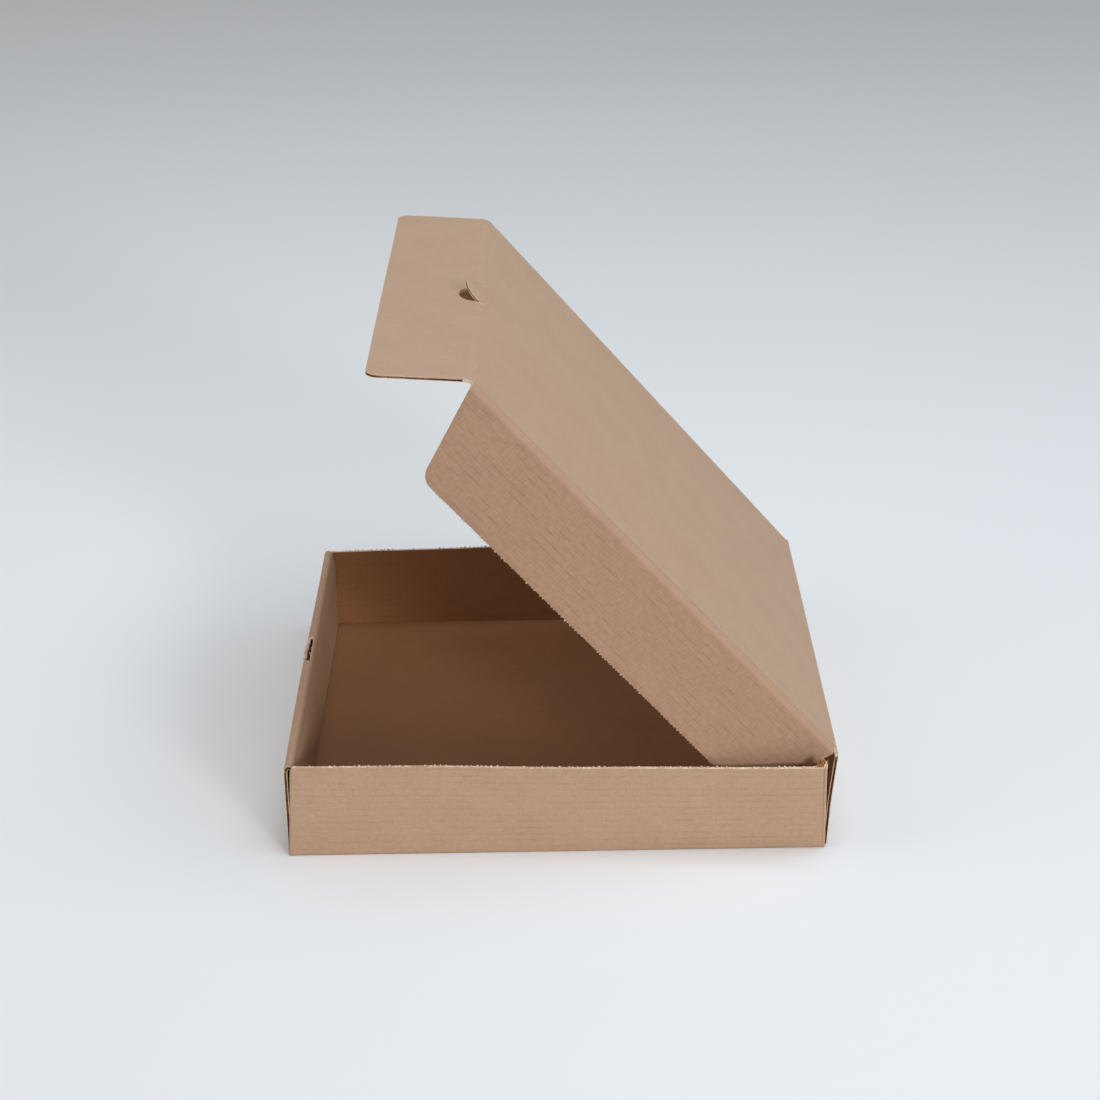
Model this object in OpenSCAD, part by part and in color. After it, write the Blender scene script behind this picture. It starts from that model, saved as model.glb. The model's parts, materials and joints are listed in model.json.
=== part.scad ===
// Corrugated pizza box with its hinged lid half raised.
// +Z is up, the front faces -Y, the lid hinges along X at the back (+Y).
// The origin is the middle of the underside. All sizes are in millimetres.

/* [Board] */
// Thickness of the fluted board
board = 1.5; // [1:0.1:3]
// Clear gap between a fold's round edge and the panel it hangs on
fold_gap = 0.65; // [0.5:0.05:0.9]
// Clear gap between board layers that lie side by side
ply_gap = 0.5; // [0.3:0.1:1]

/* [Tray] */
// Outside width of the tray, side to side
tray_w = 234.8; // [200:0.1:300]
// Outside length of the tray, front to back
tray_l = 235; // [200:0.5:300]
// Height of the side walls, measured along the board
side_h = 45.4; // [40:0.1:60]
// Height of the roll-over front wall
front_h = 43.6; // [38:0.1:44]
// How far each side wall is pushed out at its back top corner
side_splay = 8.4; // [5:0.1:12]
// How far the back wall leans back at the hinge
back_lean = 4.9; // [2:0.1:8]
// How far the back wall's ends stand in from the tray's corners
back_inset = 0.8; // [0.5:0.1:2]

/* [Corner tabs] */
// Length of each corner tab from its side wall inwards
tab_l = 42; // [25:1:60]
// Height of the front corner tabs inside the front wall
front_tab_h = 39; // [20:1:40]
// Height of the back corner tabs past their sloping shoulder
back_tab_h = 28; // [20:1:29]
// Width of the back tabs' sloping shoulder
shoulder_w = 8; // [5:0.5:9]
// Radius of the tabs' free corners
tab_r = 8; // [2:0.5:12]

/* [Lock] */
// Length of the lock slit in the front wall's top fold
slit_l = 26; // [20:0.5:40]
// Width of the lock slit
slit_w = 2; // [1:0.1:3]
// Width of the lid's lock tongue
tongue_w = 24; // [16:0.5:36]
// Reach of the lock tongue past the lid's front fold
tongue_l = 10; // [6:0.5:14]
// Clearance of the front flap's notch around the tongue
tongue_clear = 1; // [0.6:0.1:2]
// Corner radius of the tongue
tongue_r = 4; // [1:0.5:6]

/* [Lid] */
// Height of the hinge line above the underside
hinge_h = 44.8; // [44.5:0.1:60]
// Lid length from the hinge line to the front fold
lid_l = 231.2; // [190:0.1:234]
// Lid width from side fold to side fold
lid_w = 226.8; // [190:0.1:228]
// Angle that the lid stands open
lid_angle = 48.7; // [30:0.1:90]

/* [Front flap] */
// Depth of the front flap
front_flap_d = 43; // [25:0.5:44]
// Angle that the front flap is folded down from the lid's plane
front_flap_angle = 44.5; // [0:0.5:90]
// How far the front flap's ends stand in from the lid's side folds
front_flap_inset = 1.8; // [1.5:0.1:6]
// Corner radius of the front flap
front_flap_r = 3.5; // [1:0.5:10]

/* [Side flaps] */
// Depth of the side flaps
side_flap_d = 42.3; // [25:0.1:42.8]
// Angle that the side flaps stand out from square to the lid
side_flap_splay = 6.5; // [3:0.1:7]
// Set-back of each side flap from the lid's front fold
side_flap_front = 0.8; // [0.5:0.1:6]
// Taper of the side flaps' front ends
side_flap_front_taper = 19.5; // [10:0.5:30]
// Set-back of each side flap from the hinge line
side_flap_rear = 1.2; // [1:0.1:6]
// Taper of the side flaps' rear ends
side_flap_rear_taper = 22; // [21:0.5:40]
// Corner radius of the side flaps
side_flap_r = 7; // [2:0.5:10]

/* [Hidden] */
$fn = 48;
kraft_outside = [0.74, 0.60, 0.48];
kraft_lid = [0.70, 0.58, 0.48];
kraft_flap = [0.68, 0.54, 0.43];
half_w = tray_w / 2;
half_l = tray_l / 2;
hinge_y = half_l + back_lean;
// A panel stops this far from a fold's axis, clear of the round edge there
fold_end = board / 2 + fold_gap;
// The front wall is three layers of board with a gap on each side of the tab
front_t = 3 * board + 2 * ply_gap;
front_tab_y = -half_l + board + ply_gap;
back_tab_y = half_l - 2 * board - ply_gap;
// The side walls run from the front tab's outer face to the back tab's outer face
wall_front_y = front_tab_y;
wall_back_y = back_tab_y + board;
tab_foot = board + 2 * ply_gap;
wall_steps = 12;

// Outward shift of a side wall's top at a place along the tray
function splay_at(y) = side_splay * (y - wall_front_y) / (wall_back_y - wall_front_y);
// Height of a side wall's top edge, which sinks as the wall leans out
function wall_top(y) = sqrt(side_h * side_h - splay_at(y) * splay_at(y));
// Corners of a side wall's section: outer foot, outer top, inner top, inner foot
function wall_section(y) = [
    [half_w, y, 0],
    [half_w + splay_at(y), y, wall_top(y)],
    [half_w + splay_at(y) - board, y, wall_top(y)],
    [half_w - board, y, 0]
];

// Flat outline with its four corners rounded, given in order around it
module rounded_outline(points, r) {
    offset(r) offset(-r) polygon(points);
}

// Right side wall: upright at the front corner, leaning out towards the back
module side_wall() {
    step = (wall_back_y - wall_front_y) / wall_steps;
    rings = [for (i = [0 : wall_steps]) wall_section(wall_front_y + i * step)];
    points = [for (ring = rings) for (p = ring) p];
    sides = [for (i = [0 : wall_steps - 1]) for (k = [0 : 3]) let (a = 4 * i + k, b = 4 * i + (k + 1) % 4)
        each [[a, b, b + 4], [a, b + 4, a + 4]]];
    last = 4 * wall_steps;
    ends = [[3, 2, 1], [3, 1, 0], [last, last + 1, last + 2], [last, last + 2, last + 3]];
    polyhedron(points, concat(sides, ends));
}

// Right front tab, caught between the two layers of the front wall
module front_tab() {
    reach = half_w - tab_l;
    translate([0, front_tab_y + board, 0]) rotate([90, 0, 0]) linear_extrude(board) polygon([
        [half_w, tab_foot],
        [half_w, front_tab_h],
        [reach + tab_r, front_tab_h],
        [reach, front_tab_h - tab_r],
        [reach, tab_foot + tab_r],
        [reach + tab_r, tab_foot]
    ]);
}

// Right back tab, lying inside the back wall with a shoulder cut down for the lid's side flap
module back_tab() {
    reach = half_w - tab_l;
    shoulder = side_h - 3 * board;
    lean = side_splay / wall_top(wall_back_y);
    outer_foot = half_w + lean * tab_foot - board / 2;
    outer_top = half_w + lean * shoulder - board / 2;
    translate([0, back_tab_y + board, 0]) rotate([90, 0, 0]) linear_extrude(board) polygon([
        [outer_foot, tab_foot],
        [outer_top, shoulder],
        [outer_top - shoulder_w, back_tab_h],
        [reach + tab_r, back_tab_h],
        [reach, back_tab_h - tab_r],
        [reach, tab_foot + tab_r],
        [reach + tab_r, tab_foot]
    ]);
}

// Section of the front wall seen along X: an outer layer rolled over the top and down inside
module front_section(depth, height, r) {
    square([depth, height - r]);
    translate([r, height - r]) square([depth - 2 * r, r]);
    for (x = [r, depth - r]) translate([x, height - r]) circle(r);
}

// Roll-over front wall with the lock slit in its top fold
module front_wall() {
    inner_w = tray_w - 2 * board - 2 * ply_gap;
    slot = front_t - 2 * board;
    difference() {
        translate([-inner_w / 2, -half_l, 0]) rotate([90, 0, 90]) linear_extrude(inner_w) difference() {
            front_section(front_t, front_h, front_t / 2.5);
            translate([board, -board]) front_section(slot, front_h, slot / 2.5);
            translate([board + slot - ply_gap, -board]) square([board + 2 * ply_gap, 2 * board + ply_gap]);
        }
        translate([-slit_l / 2, -half_l + front_t / 2 - slit_w / 2, front_h - 2 * board])
            cube([slit_l, slit_w, 3 * board]);
    }
    translate([-half_w, -half_l, 0]) cube([tray_w, board, front_h - front_t / 2.5]);
}

// Back wall, leaning back from the base to just under the hinge line
module back_wall() {
    lean = atan2(back_lean, hinge_h);
    length = norm([back_lean, hinge_h]) - fold_end;
    lift = board / 2 * sin(lean);
    foot = half_w - back_inset;
    top = lid_w / 2;
    translate([0, half_l - board / 2, 0]) rotate([90 - lean, 0, 0]) translate([0, 0, -board / 2])
        linear_extrude(board) polygon([[-foot, lift], [foot, lift], [top, length], [-top, length]]);
}

// Base, walls and corner tabs, folded from one sheet
module tray() {
    color(kraft_outside) {
        translate([-half_w, -half_l, 0]) cube([tray_w, tray_l, board]);
        front_wall();
        back_wall();
        for (m = [0, 1]) mirror([m, 0, 0]) {
            side_wall();
            front_tab();
            back_tab();
        }
    }
}

// Places children in the lid's frame: hinge line along X, lid towards -Y, outside face up
module on_lid() {
    translate([0, hinge_y - board / 2, hinge_h]) rotate([-lid_angle, 0, 0]) children();
}

// Lid panel with its round hinge edge and its lock tongue
module lid() {
    color(kraft_lid) on_lid() {
        rotate([0, 90, 0]) cylinder(d = board, h = lid_w - 2 * fold_end, center = true);
        translate([0, 0, -board / 2]) linear_extrude(board) {
            translate([-lid_w / 2 + fold_end, -lid_l + fold_end])
                square([lid_w - 2 * fold_end, lid_l - fold_end]);
            translate([-tongue_w / 2, -lid_l - tongue_l + tongue_r])
                square([tongue_w, tongue_l + 2 * fold_end]);
            translate([-tongue_w / 2 + tongue_r, -lid_l - tongue_l])
                square([tongue_w - 2 * tongue_r, tongue_l]);
            for (x = [-1, 1]) translate([x * (tongue_w / 2 - tongue_r), -lid_l - tongue_l + tongue_r])
                circle(tongue_r);
        }
    }
}

// Front flap with a notch that leaves the lock tongue standing
module front_flap() {
    half = lid_w / 2 - front_flap_inset;
    notch = tongue_w / 2 + tongue_clear;
    color(kraft_flap) on_lid() translate([0, -lid_l, 0]) rotate([front_flap_angle, 0, 0]) {
        for (m = [0, 1]) mirror([m, 0, 0]) translate([notch, 0, 0]) rotate([0, 90, 0])
            cylinder(d = board, h = half - notch);
        translate([0, 0, -board / 2]) linear_extrude(board) difference() {
            union() {
                translate([-half, -front_flap_d + front_flap_r])
                    square([2 * half, front_flap_d - front_flap_r]);
                translate([-half + front_flap_r, -front_flap_d])
                    square([2 * (half - front_flap_r), front_flap_d]);
                for (x = [-1, 1]) translate([x * (half - front_flap_r), -front_flap_d + front_flap_r])
                    circle(front_flap_r);
            }
            translate([-notch, -tongue_l - tongue_clear + tongue_r])
                square([2 * notch, tongue_l + tongue_clear]);
            translate([-notch + tongue_r, -tongue_l - tongue_clear])
                square([2 * (notch - tongue_r), tongue_l]);
            for (x = [-1, 1]) translate([x * (notch - tongue_r), -tongue_l - tongue_clear + tongue_r])
                circle(tongue_r);
        }
    }
}

// Side flap hanging from the lid's right fold, with tapered ends and round corners
module side_flap() {
    front_end = -lid_l + side_flap_front;
    rear_end = -side_flap_rear;
    front_corner = front_end + side_flap_d * tan(side_flap_front_taper);
    rear_corner = rear_end - side_flap_d * tan(side_flap_rear_taper);
    on_lid() translate([lid_w / 2, 0, 0]) rotate([0, 90 - side_flap_splay, 0]) {
        translate([0, front_end, 0]) rotate([-90, 0, 0]) cylinder(d = board, h = rear_end - front_end);
        translate([0, 0, -board / 2]) linear_extrude(board) {
            rounded_outline([
                [0, front_end],
                [side_flap_d, front_corner],
                [side_flap_d, rear_corner],
                [0, rear_end]
            ], side_flap_r);
            polygon([
                [0, front_end],
                [side_flap_d / 2, (front_end + front_corner) / 2],
                [side_flap_d / 2, (rear_end + rear_corner) / 2],
                [0, rear_end]
            ]);
        }
    }
}

// Flap on the right of the lid, tucked inside the right wall
module right_flap() {
    color(kraft_flap) side_flap();
}

// Flap on the left of the lid, the mirror image of the right one
module left_flap() {
    color(kraft_flap) mirror([1, 0, 0]) side_flap();
}

tray();
lid();
front_flap();
right_flap();
left_flap();
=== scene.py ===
"""Corrugated kraft pizza box with its lid half raised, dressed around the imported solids.

The box is one die-cut sheet, so every panel is laid out in the flat sheet's own coordinates first
(across, along, height above the board's middle) and is then folded into place by its panel class.
The flat coordinates are kept as the UV map, so flutes and fibres run on across every fold.
"""
import json
import logging
import math
from dataclasses import dataclass, field
from enum import Enum
from typing import Any, Callable, Sequence

import bmesh
import bpy
import numpy as np
from mathutils import Matrix, Vector


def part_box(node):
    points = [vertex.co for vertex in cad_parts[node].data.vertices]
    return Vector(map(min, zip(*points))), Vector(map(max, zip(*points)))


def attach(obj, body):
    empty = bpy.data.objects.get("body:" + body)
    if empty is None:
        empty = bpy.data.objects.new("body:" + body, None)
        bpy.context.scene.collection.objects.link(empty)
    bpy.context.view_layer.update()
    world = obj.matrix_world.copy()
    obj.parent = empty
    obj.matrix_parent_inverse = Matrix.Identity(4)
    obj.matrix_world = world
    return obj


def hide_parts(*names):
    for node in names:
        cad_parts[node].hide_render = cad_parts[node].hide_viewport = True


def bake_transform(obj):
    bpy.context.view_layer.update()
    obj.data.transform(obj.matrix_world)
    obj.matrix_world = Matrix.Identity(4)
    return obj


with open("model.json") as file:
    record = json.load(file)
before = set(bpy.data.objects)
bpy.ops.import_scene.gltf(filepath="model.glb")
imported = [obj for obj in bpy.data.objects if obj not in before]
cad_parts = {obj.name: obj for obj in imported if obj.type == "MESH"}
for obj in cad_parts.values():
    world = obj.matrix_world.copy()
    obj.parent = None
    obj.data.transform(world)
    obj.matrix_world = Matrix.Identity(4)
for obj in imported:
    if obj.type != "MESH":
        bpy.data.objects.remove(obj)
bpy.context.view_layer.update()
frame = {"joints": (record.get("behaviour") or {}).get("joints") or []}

LOG = logging.getLogger("pizza_box")
MM = 0.001
FLUTE_PITCH = 3.3 * MM
CUT_REACH = 1.6 * MM
TIGHTEST_FOLD = 0.05 * MM
SAME_SPOT = 0.001 * MM
CREASE_ROUND = 0.96
BLEND_INSET = 0.15

Array = np.ndarray
Colour = tuple[float, float, float, float]
Corner = tuple[int, int]
Edge = tuple[Corner, Corner]
MeshParts = tuple[Array, list[tuple[int, ...]]]
OpenEnds = Callable[[int, int, int, int], bool]
Place = Callable[[Array, Array, Array], Array]


class Face(Enum):
    """Material slots of a board mesh, in slot order."""

    OUTSIDE = 0
    INSIDE = 1
    EDGE = 2
    GROOVE = 3


# Node trees


class Value:
    """One node socket that holds a number, with Python operators."""

    def __init__(self, graph: "NodeGraph", socket: bpy.types.NodeSocket) -> None:
        """Keeps the graph and the output socket."""
        self.graph = graph
        self.socket = socket

    def _math(self, operation: str, other: Any = 0.0) -> "Value":
        """Adds one Math node on this value and another operand."""
        node = self.graph.node("ShaderNodeMath", {"operation": operation}, {0: self, 1: other})
        return Value(self.graph, node.outputs[0])

    def __add__(self, other: Any) -> "Value":
        """Sum."""
        return self._math("ADD", other)

    def __sub__(self, other: Any) -> "Value":
        """Difference."""
        return self._math("SUBTRACT", other)

    def __mul__(self, other: Any) -> "Value":
        """Product."""
        return self._math("MULTIPLY", other)

    def __truediv__(self, other: Any) -> "Value":
        """Quotient."""
        return self._math("DIVIDE", other)

    def __pow__(self, other: Any) -> "Value":
        """Power."""
        return self._math("POWER", other)

    def sine(self) -> "Value":
        """Sine of the value in radians."""
        return self._math("SINE")

    def above(self, low: float, high: float) -> "Value":
        """Zero below low, one above high and a smooth step between.

        Args:
            low: where the step starts.
            high: where the step ends.
        Returns:
            The stepped value.
        """
        node = self.graph.node(
            "ShaderNodeMapRange",
            {"interpolation_type": "SMOOTHSTEP", "clamp": True},
            {"Value": self, "From Min": low, "From Max": high, "To Min": 0.0, "To Max": 1.0},
        )
        return Value(self.graph, node.outputs["Result"])


class NodeGraph:
    """A node tree and the one method that adds nodes to it."""

    def __init__(self, tree: bpy.types.NodeTree) -> None:
        """Keeps the tree."""
        self.tree = tree

    def node(self, kind: str, settings: dict[str, Any], inputs: dict[Any, Any]) -> bpy.types.Node:
        """Adds a node.

        Args:
            kind: the node's type name.
            settings: attributes set before any socket.
            inputs: socket name or index to a value, a Value or a socket.
        Returns:
            The new node.
        """
        made = self.tree.nodes.new(kind)
        for key, value in settings.items():
            setattr(made, key, value)
        for key, value in inputs.items():
            self.feed(made.inputs[key], value)
        return made

    def feed(self, socket: bpy.types.NodeSocket, value: Any) -> None:
        """Links or sets one input socket.

        Args:
            socket: the input socket.
            value: a value, a Value or a socket.
        """
        if isinstance(value, Value):
            self.tree.links.new(value.socket, socket)
        elif isinstance(value, bpy.types.NodeSocket):
            self.tree.links.new(value, socket)
        else:
            socket.default_value = value


class ShaderGraph(NodeGraph):
    """A material's node tree around one Principled shader."""

    def __init__(self, name: str) -> None:
        """Starts an empty material with an output and a Principled shader.

        Args:
            name: name of the material.
        """
        self.material = bpy.data.materials.new(name)
        self.material.use_nodes = True
        super().__init__(self.material.node_tree)
        self.tree.nodes.clear()
        output = self.tree.nodes.new("ShaderNodeOutputMaterial")
        self.shader = self.tree.nodes.new("ShaderNodeBsdfPrincipled")
        self.tree.links.new(self.shader.outputs[0], output.inputs["Surface"])

    def noise(self, vector: Any, scale: float, detail: float, rough: float) -> Value:
        """A noise texture's value.

        Args:
            vector: socket of the coordinates.
            scale: cells per metre.
            detail: octaves.
            rough: weight of the finer octaves.
        Returns:
            The noise, about 0.5 on average.
        """
        made = self.node(
            "ShaderNodeTexNoise",
            {"noise_dimensions": "3D"},
            {"Vector": vector, "Scale": scale, "Detail": detail, "Roughness": rough},
        )
        return Value(self, made.outputs["Fac"])

    def streaks(self, vector: Any, cells: Sequence[float], detail: float, rough: float) -> Value:
        """Noise with its own number of cells per metre along each axis.

        Args:
            vector: socket of the coordinates.
            cells: cells per metre along each axis.
            detail: octaves.
            rough: weight of the finer octaves.
        Returns:
            The noise, about 0.5 on average.
        """
        made = self.node("ShaderNodeMapping", {"vector_type": "POINT"}, {"Vector": vector, "Scale": cells})
        return self.noise(made.outputs["Vector"], 1.0, detail, rough)

    def mix(self, factor: Any, first: Any, second: Any) -> bpy.types.NodeSocket:
        """Mixes two colours.

        Args:
            factor: weight of the second colour.
            first: colour or socket.
            second: colour or socket.
        Returns:
            The colour socket.
        """
        made = self.node("ShaderNodeMix", {"data_type": "RGBA", "blend_type": "MIX"}, {"Factor": factor})
        for index, value in ((6, first), (7, second)):
            self.feed(made.inputs[index], value)
        return made.outputs[2]

    def bump(self, height: Value, strength: float, distance: float) -> bpy.types.NodeSocket:
        """Normals of a surface raised by a height."""
        made = self.node("ShaderNodeBump", {}, {"Strength": strength, "Distance": distance, "Height": height})
        return made.outputs["Normal"]

    def finish(self, inputs: dict[str, Any]) -> bpy.types.Material:
        """Feeds the Principled shader.

        Args:
            inputs: socket name to a value, a Value or a socket.
        Returns:
            The finished material.
        """
        for key, value in inputs.items():
            self.feed(self.shader.inputs[key], value)
        return self.material


def srgb(red: float, green: float, blue: float) -> Colour:
    """Turns 0 to 255 display values into a linear colour.

    Args:
        red: red display value.
        green: green display value.
        blue: blue display value.
    Returns:
        The linear colour, opaque.
    """
    def linear(value: float) -> float:
        """One display value as a linear one."""
        share = value / 255.0
        return share / 12.92 if share <= 0.04045 else ((share + 0.055) / 1.055) ** 2.4
    return (linear(red), linear(green), linear(blue), 1.0)


# Finishes


@dataclass(frozen=True)
class KraftLiner:
    """Brown paper facing of the board: fibres, blotches, specks and the flutes showing through.

    Cells are counted per metre of the flat sheet, across the flutes and along them.
    """

    name: str
    body: Colour
    pale: Colour
    dark: Colour
    line: Colour
    line_strength: float = 0.34
    blotch: float = 0.14
    fibre: float = 0.30
    speck: float = 0.55
    relief: float = 0.25
    relief_depth: float = 0.12 * MM
    roughness: float = 0.66
    cloud_cells: float = 38.0
    grain_cells: float = 900.0
    cross_cells: tuple[float, float, float] = (260.0, 1500.0, 1.0)
    long_cells: tuple[float, float, float] = (1700.0, 220.0, 1.0)
    fade_cells: tuple[float, float, float] = (120.0, 30.0, 1.0)
    break_cells: tuple[float, float, float] = (500.0, 170.0, 1.0)
    fleck_cells: tuple[float, float, float] = (700.0, 420.0, 1.0)

    def build(self) -> bpy.types.Material:
        """Makes the material.

        Returns:
            The kraft material, patterned on the flat sheet's UV map.
        """
        graph = ShaderGraph(self.name)
        sheet = graph.node("ShaderNodeUVMap", {"uv_map": "sheet"}, {}).outputs["UV"]
        across = Value(graph, graph.node("ShaderNodeSeparateXYZ", {}, {0: sheet}).outputs["X"])
        clouds = graph.noise(sheet, self.cloud_cells, 4.0, 0.55)
        grain = graph.noise(sheet, self.grain_cells, 3.0, 0.6)
        cross_fibre = graph.streaks(sheet, self.cross_cells, 3.0, 0.6)
        long_fibre = graph.streaks(sheet, self.long_cells, 3.0, 0.6)
        fade = graph.streaks(sheet, self.fade_cells, 3.0, 0.6)
        broken = graph.streaks(sheet, self.break_cells, 2.0, 0.6)
        flecks = graph.streaks(sheet, self.fleck_cells, 2.0, 0.7)
        turn = 2.0 * math.pi / FLUTE_PITCH
        crest = (across * turn).sine()
        twin = (across * (2.0 * turn)).sine()
        stripe = (crest * 0.5 + 0.5) ** 8.0 + (twin * 0.5 + 0.5) ** 8.0 * 0.35
        lines = stripe * fade.above(0.30, 0.66) * (broken.above(0.38, 0.62) * 0.8 + 0.2)
        fibres = (cross_fibre + long_fibre) * 0.5
        tone = (clouds - 0.5) * (2.0 * self.blotch) + (fibres - 0.5) * (4.0 * self.fibre)
        colour = graph.mix((tone + 0.5).above(0.15, 0.95), self.dark, self.pale)
        colour = graph.mix(0.45, colour, self.body)
        colour = graph.mix(lines * self.line_strength, colour, self.line)
        colour = graph.mix(flecks.above(0.70, 0.80) * self.speck, colour, self.dark)
        colour = graph.mix(grain.above(0.62, 0.80) * 0.25, colour, self.pale)
        height = lines * 0.6 + fibres * 0.5 + grain * 0.35
        return graph.finish({
            "Base Color": colour,
            "Roughness": (fibres - 0.5) * 0.3 + self.roughness,
            "Normal": graph.bump(height, self.relief, self.relief_depth),
            "Specular IOR Level": 0.5,
        })


@dataclass(frozen=True)
class RawPaper:
    """Cut paper where the board's edge shows: paler fibres, lightened further as painted highlight, or the
    brown fluting inside, darkened partly as painted shade.
    """

    name: str
    pale: Colour
    dark: Colour
    coarse_cells: float = 260.0
    fine_cells: float = 1400.0
    relief: float = 0.5
    relief_depth: float = 0.1 * MM
    roughness: float = 0.92

    def build(self) -> bpy.types.Material:
        """Makes the material.

        Returns:
            The raw paper material, patterned on Object coordinates.
        """
        graph = ShaderGraph(self.name)
        place = graph.node("ShaderNodeTexCoord", {}, {}).outputs["Object"]
        coarse = graph.noise(place, self.coarse_cells, 3.0, 0.6)
        fine = graph.noise(place, self.fine_cells, 2.0, 0.6)
        fluff = coarse * 0.5 + fine * 0.5
        return graph.finish({
            "Base Color": graph.mix(fluff.above(0.36, 0.66), self.dark, self.pale),
            "Normal": graph.bump(fine, self.relief, self.relief_depth),
            "Roughness": self.roughness,
            "Specular IOR Level": 0.2,
        })


@dataclass(frozen=True)
class TableTop:
    """Plain pale floor."""

    name: str = "pale_floor"
    colour: Colour = srgb(242, 242, 242)
    roughness: float = 0.75

    def build(self) -> bpy.types.Material:
        """Makes the material."""
        return ShaderGraph(self.name).finish({"Base Color": self.colour, "Roughness": self.roughness})


@dataclass
class Finishes:
    """Every material of the box, made once."""

    outside: bpy.types.Material = field(init=False)
    lid_painted_sheen: bpy.types.Material = field(init=False)
    painted_shade_flap: bpy.types.Material = field(init=False)
    painted_shade_fold: bpy.types.Material = field(init=False)
    inside: bpy.types.Material = field(init=False)
    edge: bpy.types.Material = field(init=False)
    fluting_and_painted_shade: bpy.types.Material = field(init=False)
    torn: bpy.types.Material = field(init=False)

    def __post_init__(self) -> None:
        """Builds the materials.

        The lid's tone is a little greyer, as painted sheen, and its flute lines are painted fainter for the
        light on it.
        The side flaps are painted darker as shade, and their folds lie between the lid and the flaps in tone.
        """
        brown = dict(pale=srgb(206, 174, 145), dark=srgb(160, 124, 96), line=srgb(150, 112, 84))
        self.outside = KraftLiner("kraft_outside", body=srgb(192, 157, 129), **brown).build()
        # Lid, front flap and their creases: the same kraft painted a little greyer as sheen, with fainter
        # flute lines and fibres painted for the light on them.
        self.lid_painted_sheen = KraftLiner(
            "kraft_lid_painted_sheen", body=srgb(192, 160, 134), line_strength=0.14, fibre=0.2, speck=0.3, **brown
        ).build()
        # Side flaps: the same kraft painted darker, with stronger flute lines, as painted shade and painted
        # grazing light.
        self.painted_shade_flap = KraftLiner(
            "kraft_painted_shade_flap", body=srgb(176, 139, 112),
            pale=srgb(190, 154, 126), dark=srgb(145, 107, 82), line=srgb(120, 82, 58),
            line_strength=0.36, fibre=0.4, speck=0.7,
        ).build()
        # Side flap folds: tone painted between the lid and the shaded flaps, so partly painted shade, with
        # fainter lines.
        self.painted_shade_fold = KraftLiner(
            "kraft_painted_shade_fold", body=srgb(179, 144, 118), line_strength=0.1, fibre=0.2, speck=0.3,
            pale=srgb(193, 158, 131), dark=srgb(150, 114, 90), line=srgb(138, 101, 76),
        ).build()
        # Inside liner: its own brown, painted darker and warmer as shade and warm bounce light inside the
        # box.
        self.inside = KraftLiner(
            "kraft_painted_shade_inside", body=srgb(165, 116, 74), line_strength=0.25,
            pale=srgb(180, 132, 90), dark=srgb(136, 90, 54), line=srgb(124, 79, 48),
        ).build()
        # Cut edges: pale raw fibres, made paler still as a painted highlight where the edges sit in shade.
        self.edge = RawPaper("cut_edge", pale=srgb(240, 221, 198), dark=srgb(202, 168, 138)).build()
        # Fluting in open ends and grooves: the medium's own brown, darkened partly as painted shade of the
        # recesses.
        self.fluting_and_painted_shade = RawPaper("fluting", pale=srgb(170, 130, 96), dark=srgb(120, 86, 60)).build()
        self.torn = RawPaper("torn_fluting", pale=srgb(198, 152, 96), dark=srgb(124, 82, 40)).build()

    def board(self, outside: bpy.types.Material) -> list[bpy.types.Material]:
        """Materials of a board mesh in the order of Face, around its own outside."""
        return [outside, self.inside, self.edge, self.fluting_and_painted_shade]


# Small helpers


def linked(name: str, data: bpy.types.ID) -> bpy.types.Object:
    """Makes an object of a mesh, a camera or a lamp and links it to the scene.

    Args:
        name: name of the object.
        data: the mesh, camera or lamp.
    Returns:
        The new object.
    """
    made = bpy.data.objects.new(name, data)
    bpy.context.scene.collection.objects.link(made)
    return made


def face_outwards(mesh: bpy.types.Mesh) -> None:
    """Merges points that fell together in a fold and turns the faces of every shell outwards.

    Args:
        mesh: mesh of closed shells, changed in place.
    """
    work = bmesh.new()
    work.from_mesh(mesh)
    bmesh.ops.remove_doubles(work, verts=work.verts, dist=SAME_SPOT)
    bmesh.ops.recalc_face_normals(work, faces=work.faces)
    work.to_mesh(mesh)
    work.free()


def pinch(distance: Array, left: float = 0.62) -> Array:
    """Share of the board's thickness near a cut edge, where the knife squeezed it.

    Args:
        distance: distance from the cut.
        left: share that is left at the cut itself.
    Returns:
        The share at each distance.
    """
    return left + (1.0 - left) * np.clip(np.asarray(distance) / CUT_REACH, 0.0, 1.0)


def spread(low: float, high: float, step: float) -> Array:
    """Evenly spaced values from low to high, no further apart than step."""
    return np.linspace(low, high, max(2, int(math.ceil(abs(high - low) / step)) + 1))


def joined(*runs: Array) -> Array:
    """Runs of values end to end, with each shared end kept once."""
    return np.concatenate([runs[0]] + [run[1:] for run in runs[1:]])


def portion(value: Array, low: float, high: float) -> Array:
    """How far a value has come from low to high, as a share that stays between 0 and 1."""
    return np.clip((np.asarray(value) - low) / (high - low), 0.0, 1.0)


def eased(share: Array) -> Array:
    """Smooth step from 0 to 1."""
    return share * share * (3.0 - 2.0 * share)


def end_columns(across: Array) -> OpenEnds:
    """Says that a panel's flutes show at its first and last column of grid points."""
    last = across.shape[1] - 1
    return lambda i, j, k, m: j == m and j in (0, last)


@dataclass(frozen=True)
class Ripple:
    """One wave that a panel stands in."""

    height: float
    turn: float
    phase: float = 0.0

    def at(self, place: Array) -> Array:
        """Height of the wave at each place, which it turns through in radians per metre."""
        return self.height * np.sin(np.asarray(place) * self.turn + self.phase)


# Flat panels and meshes


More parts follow.
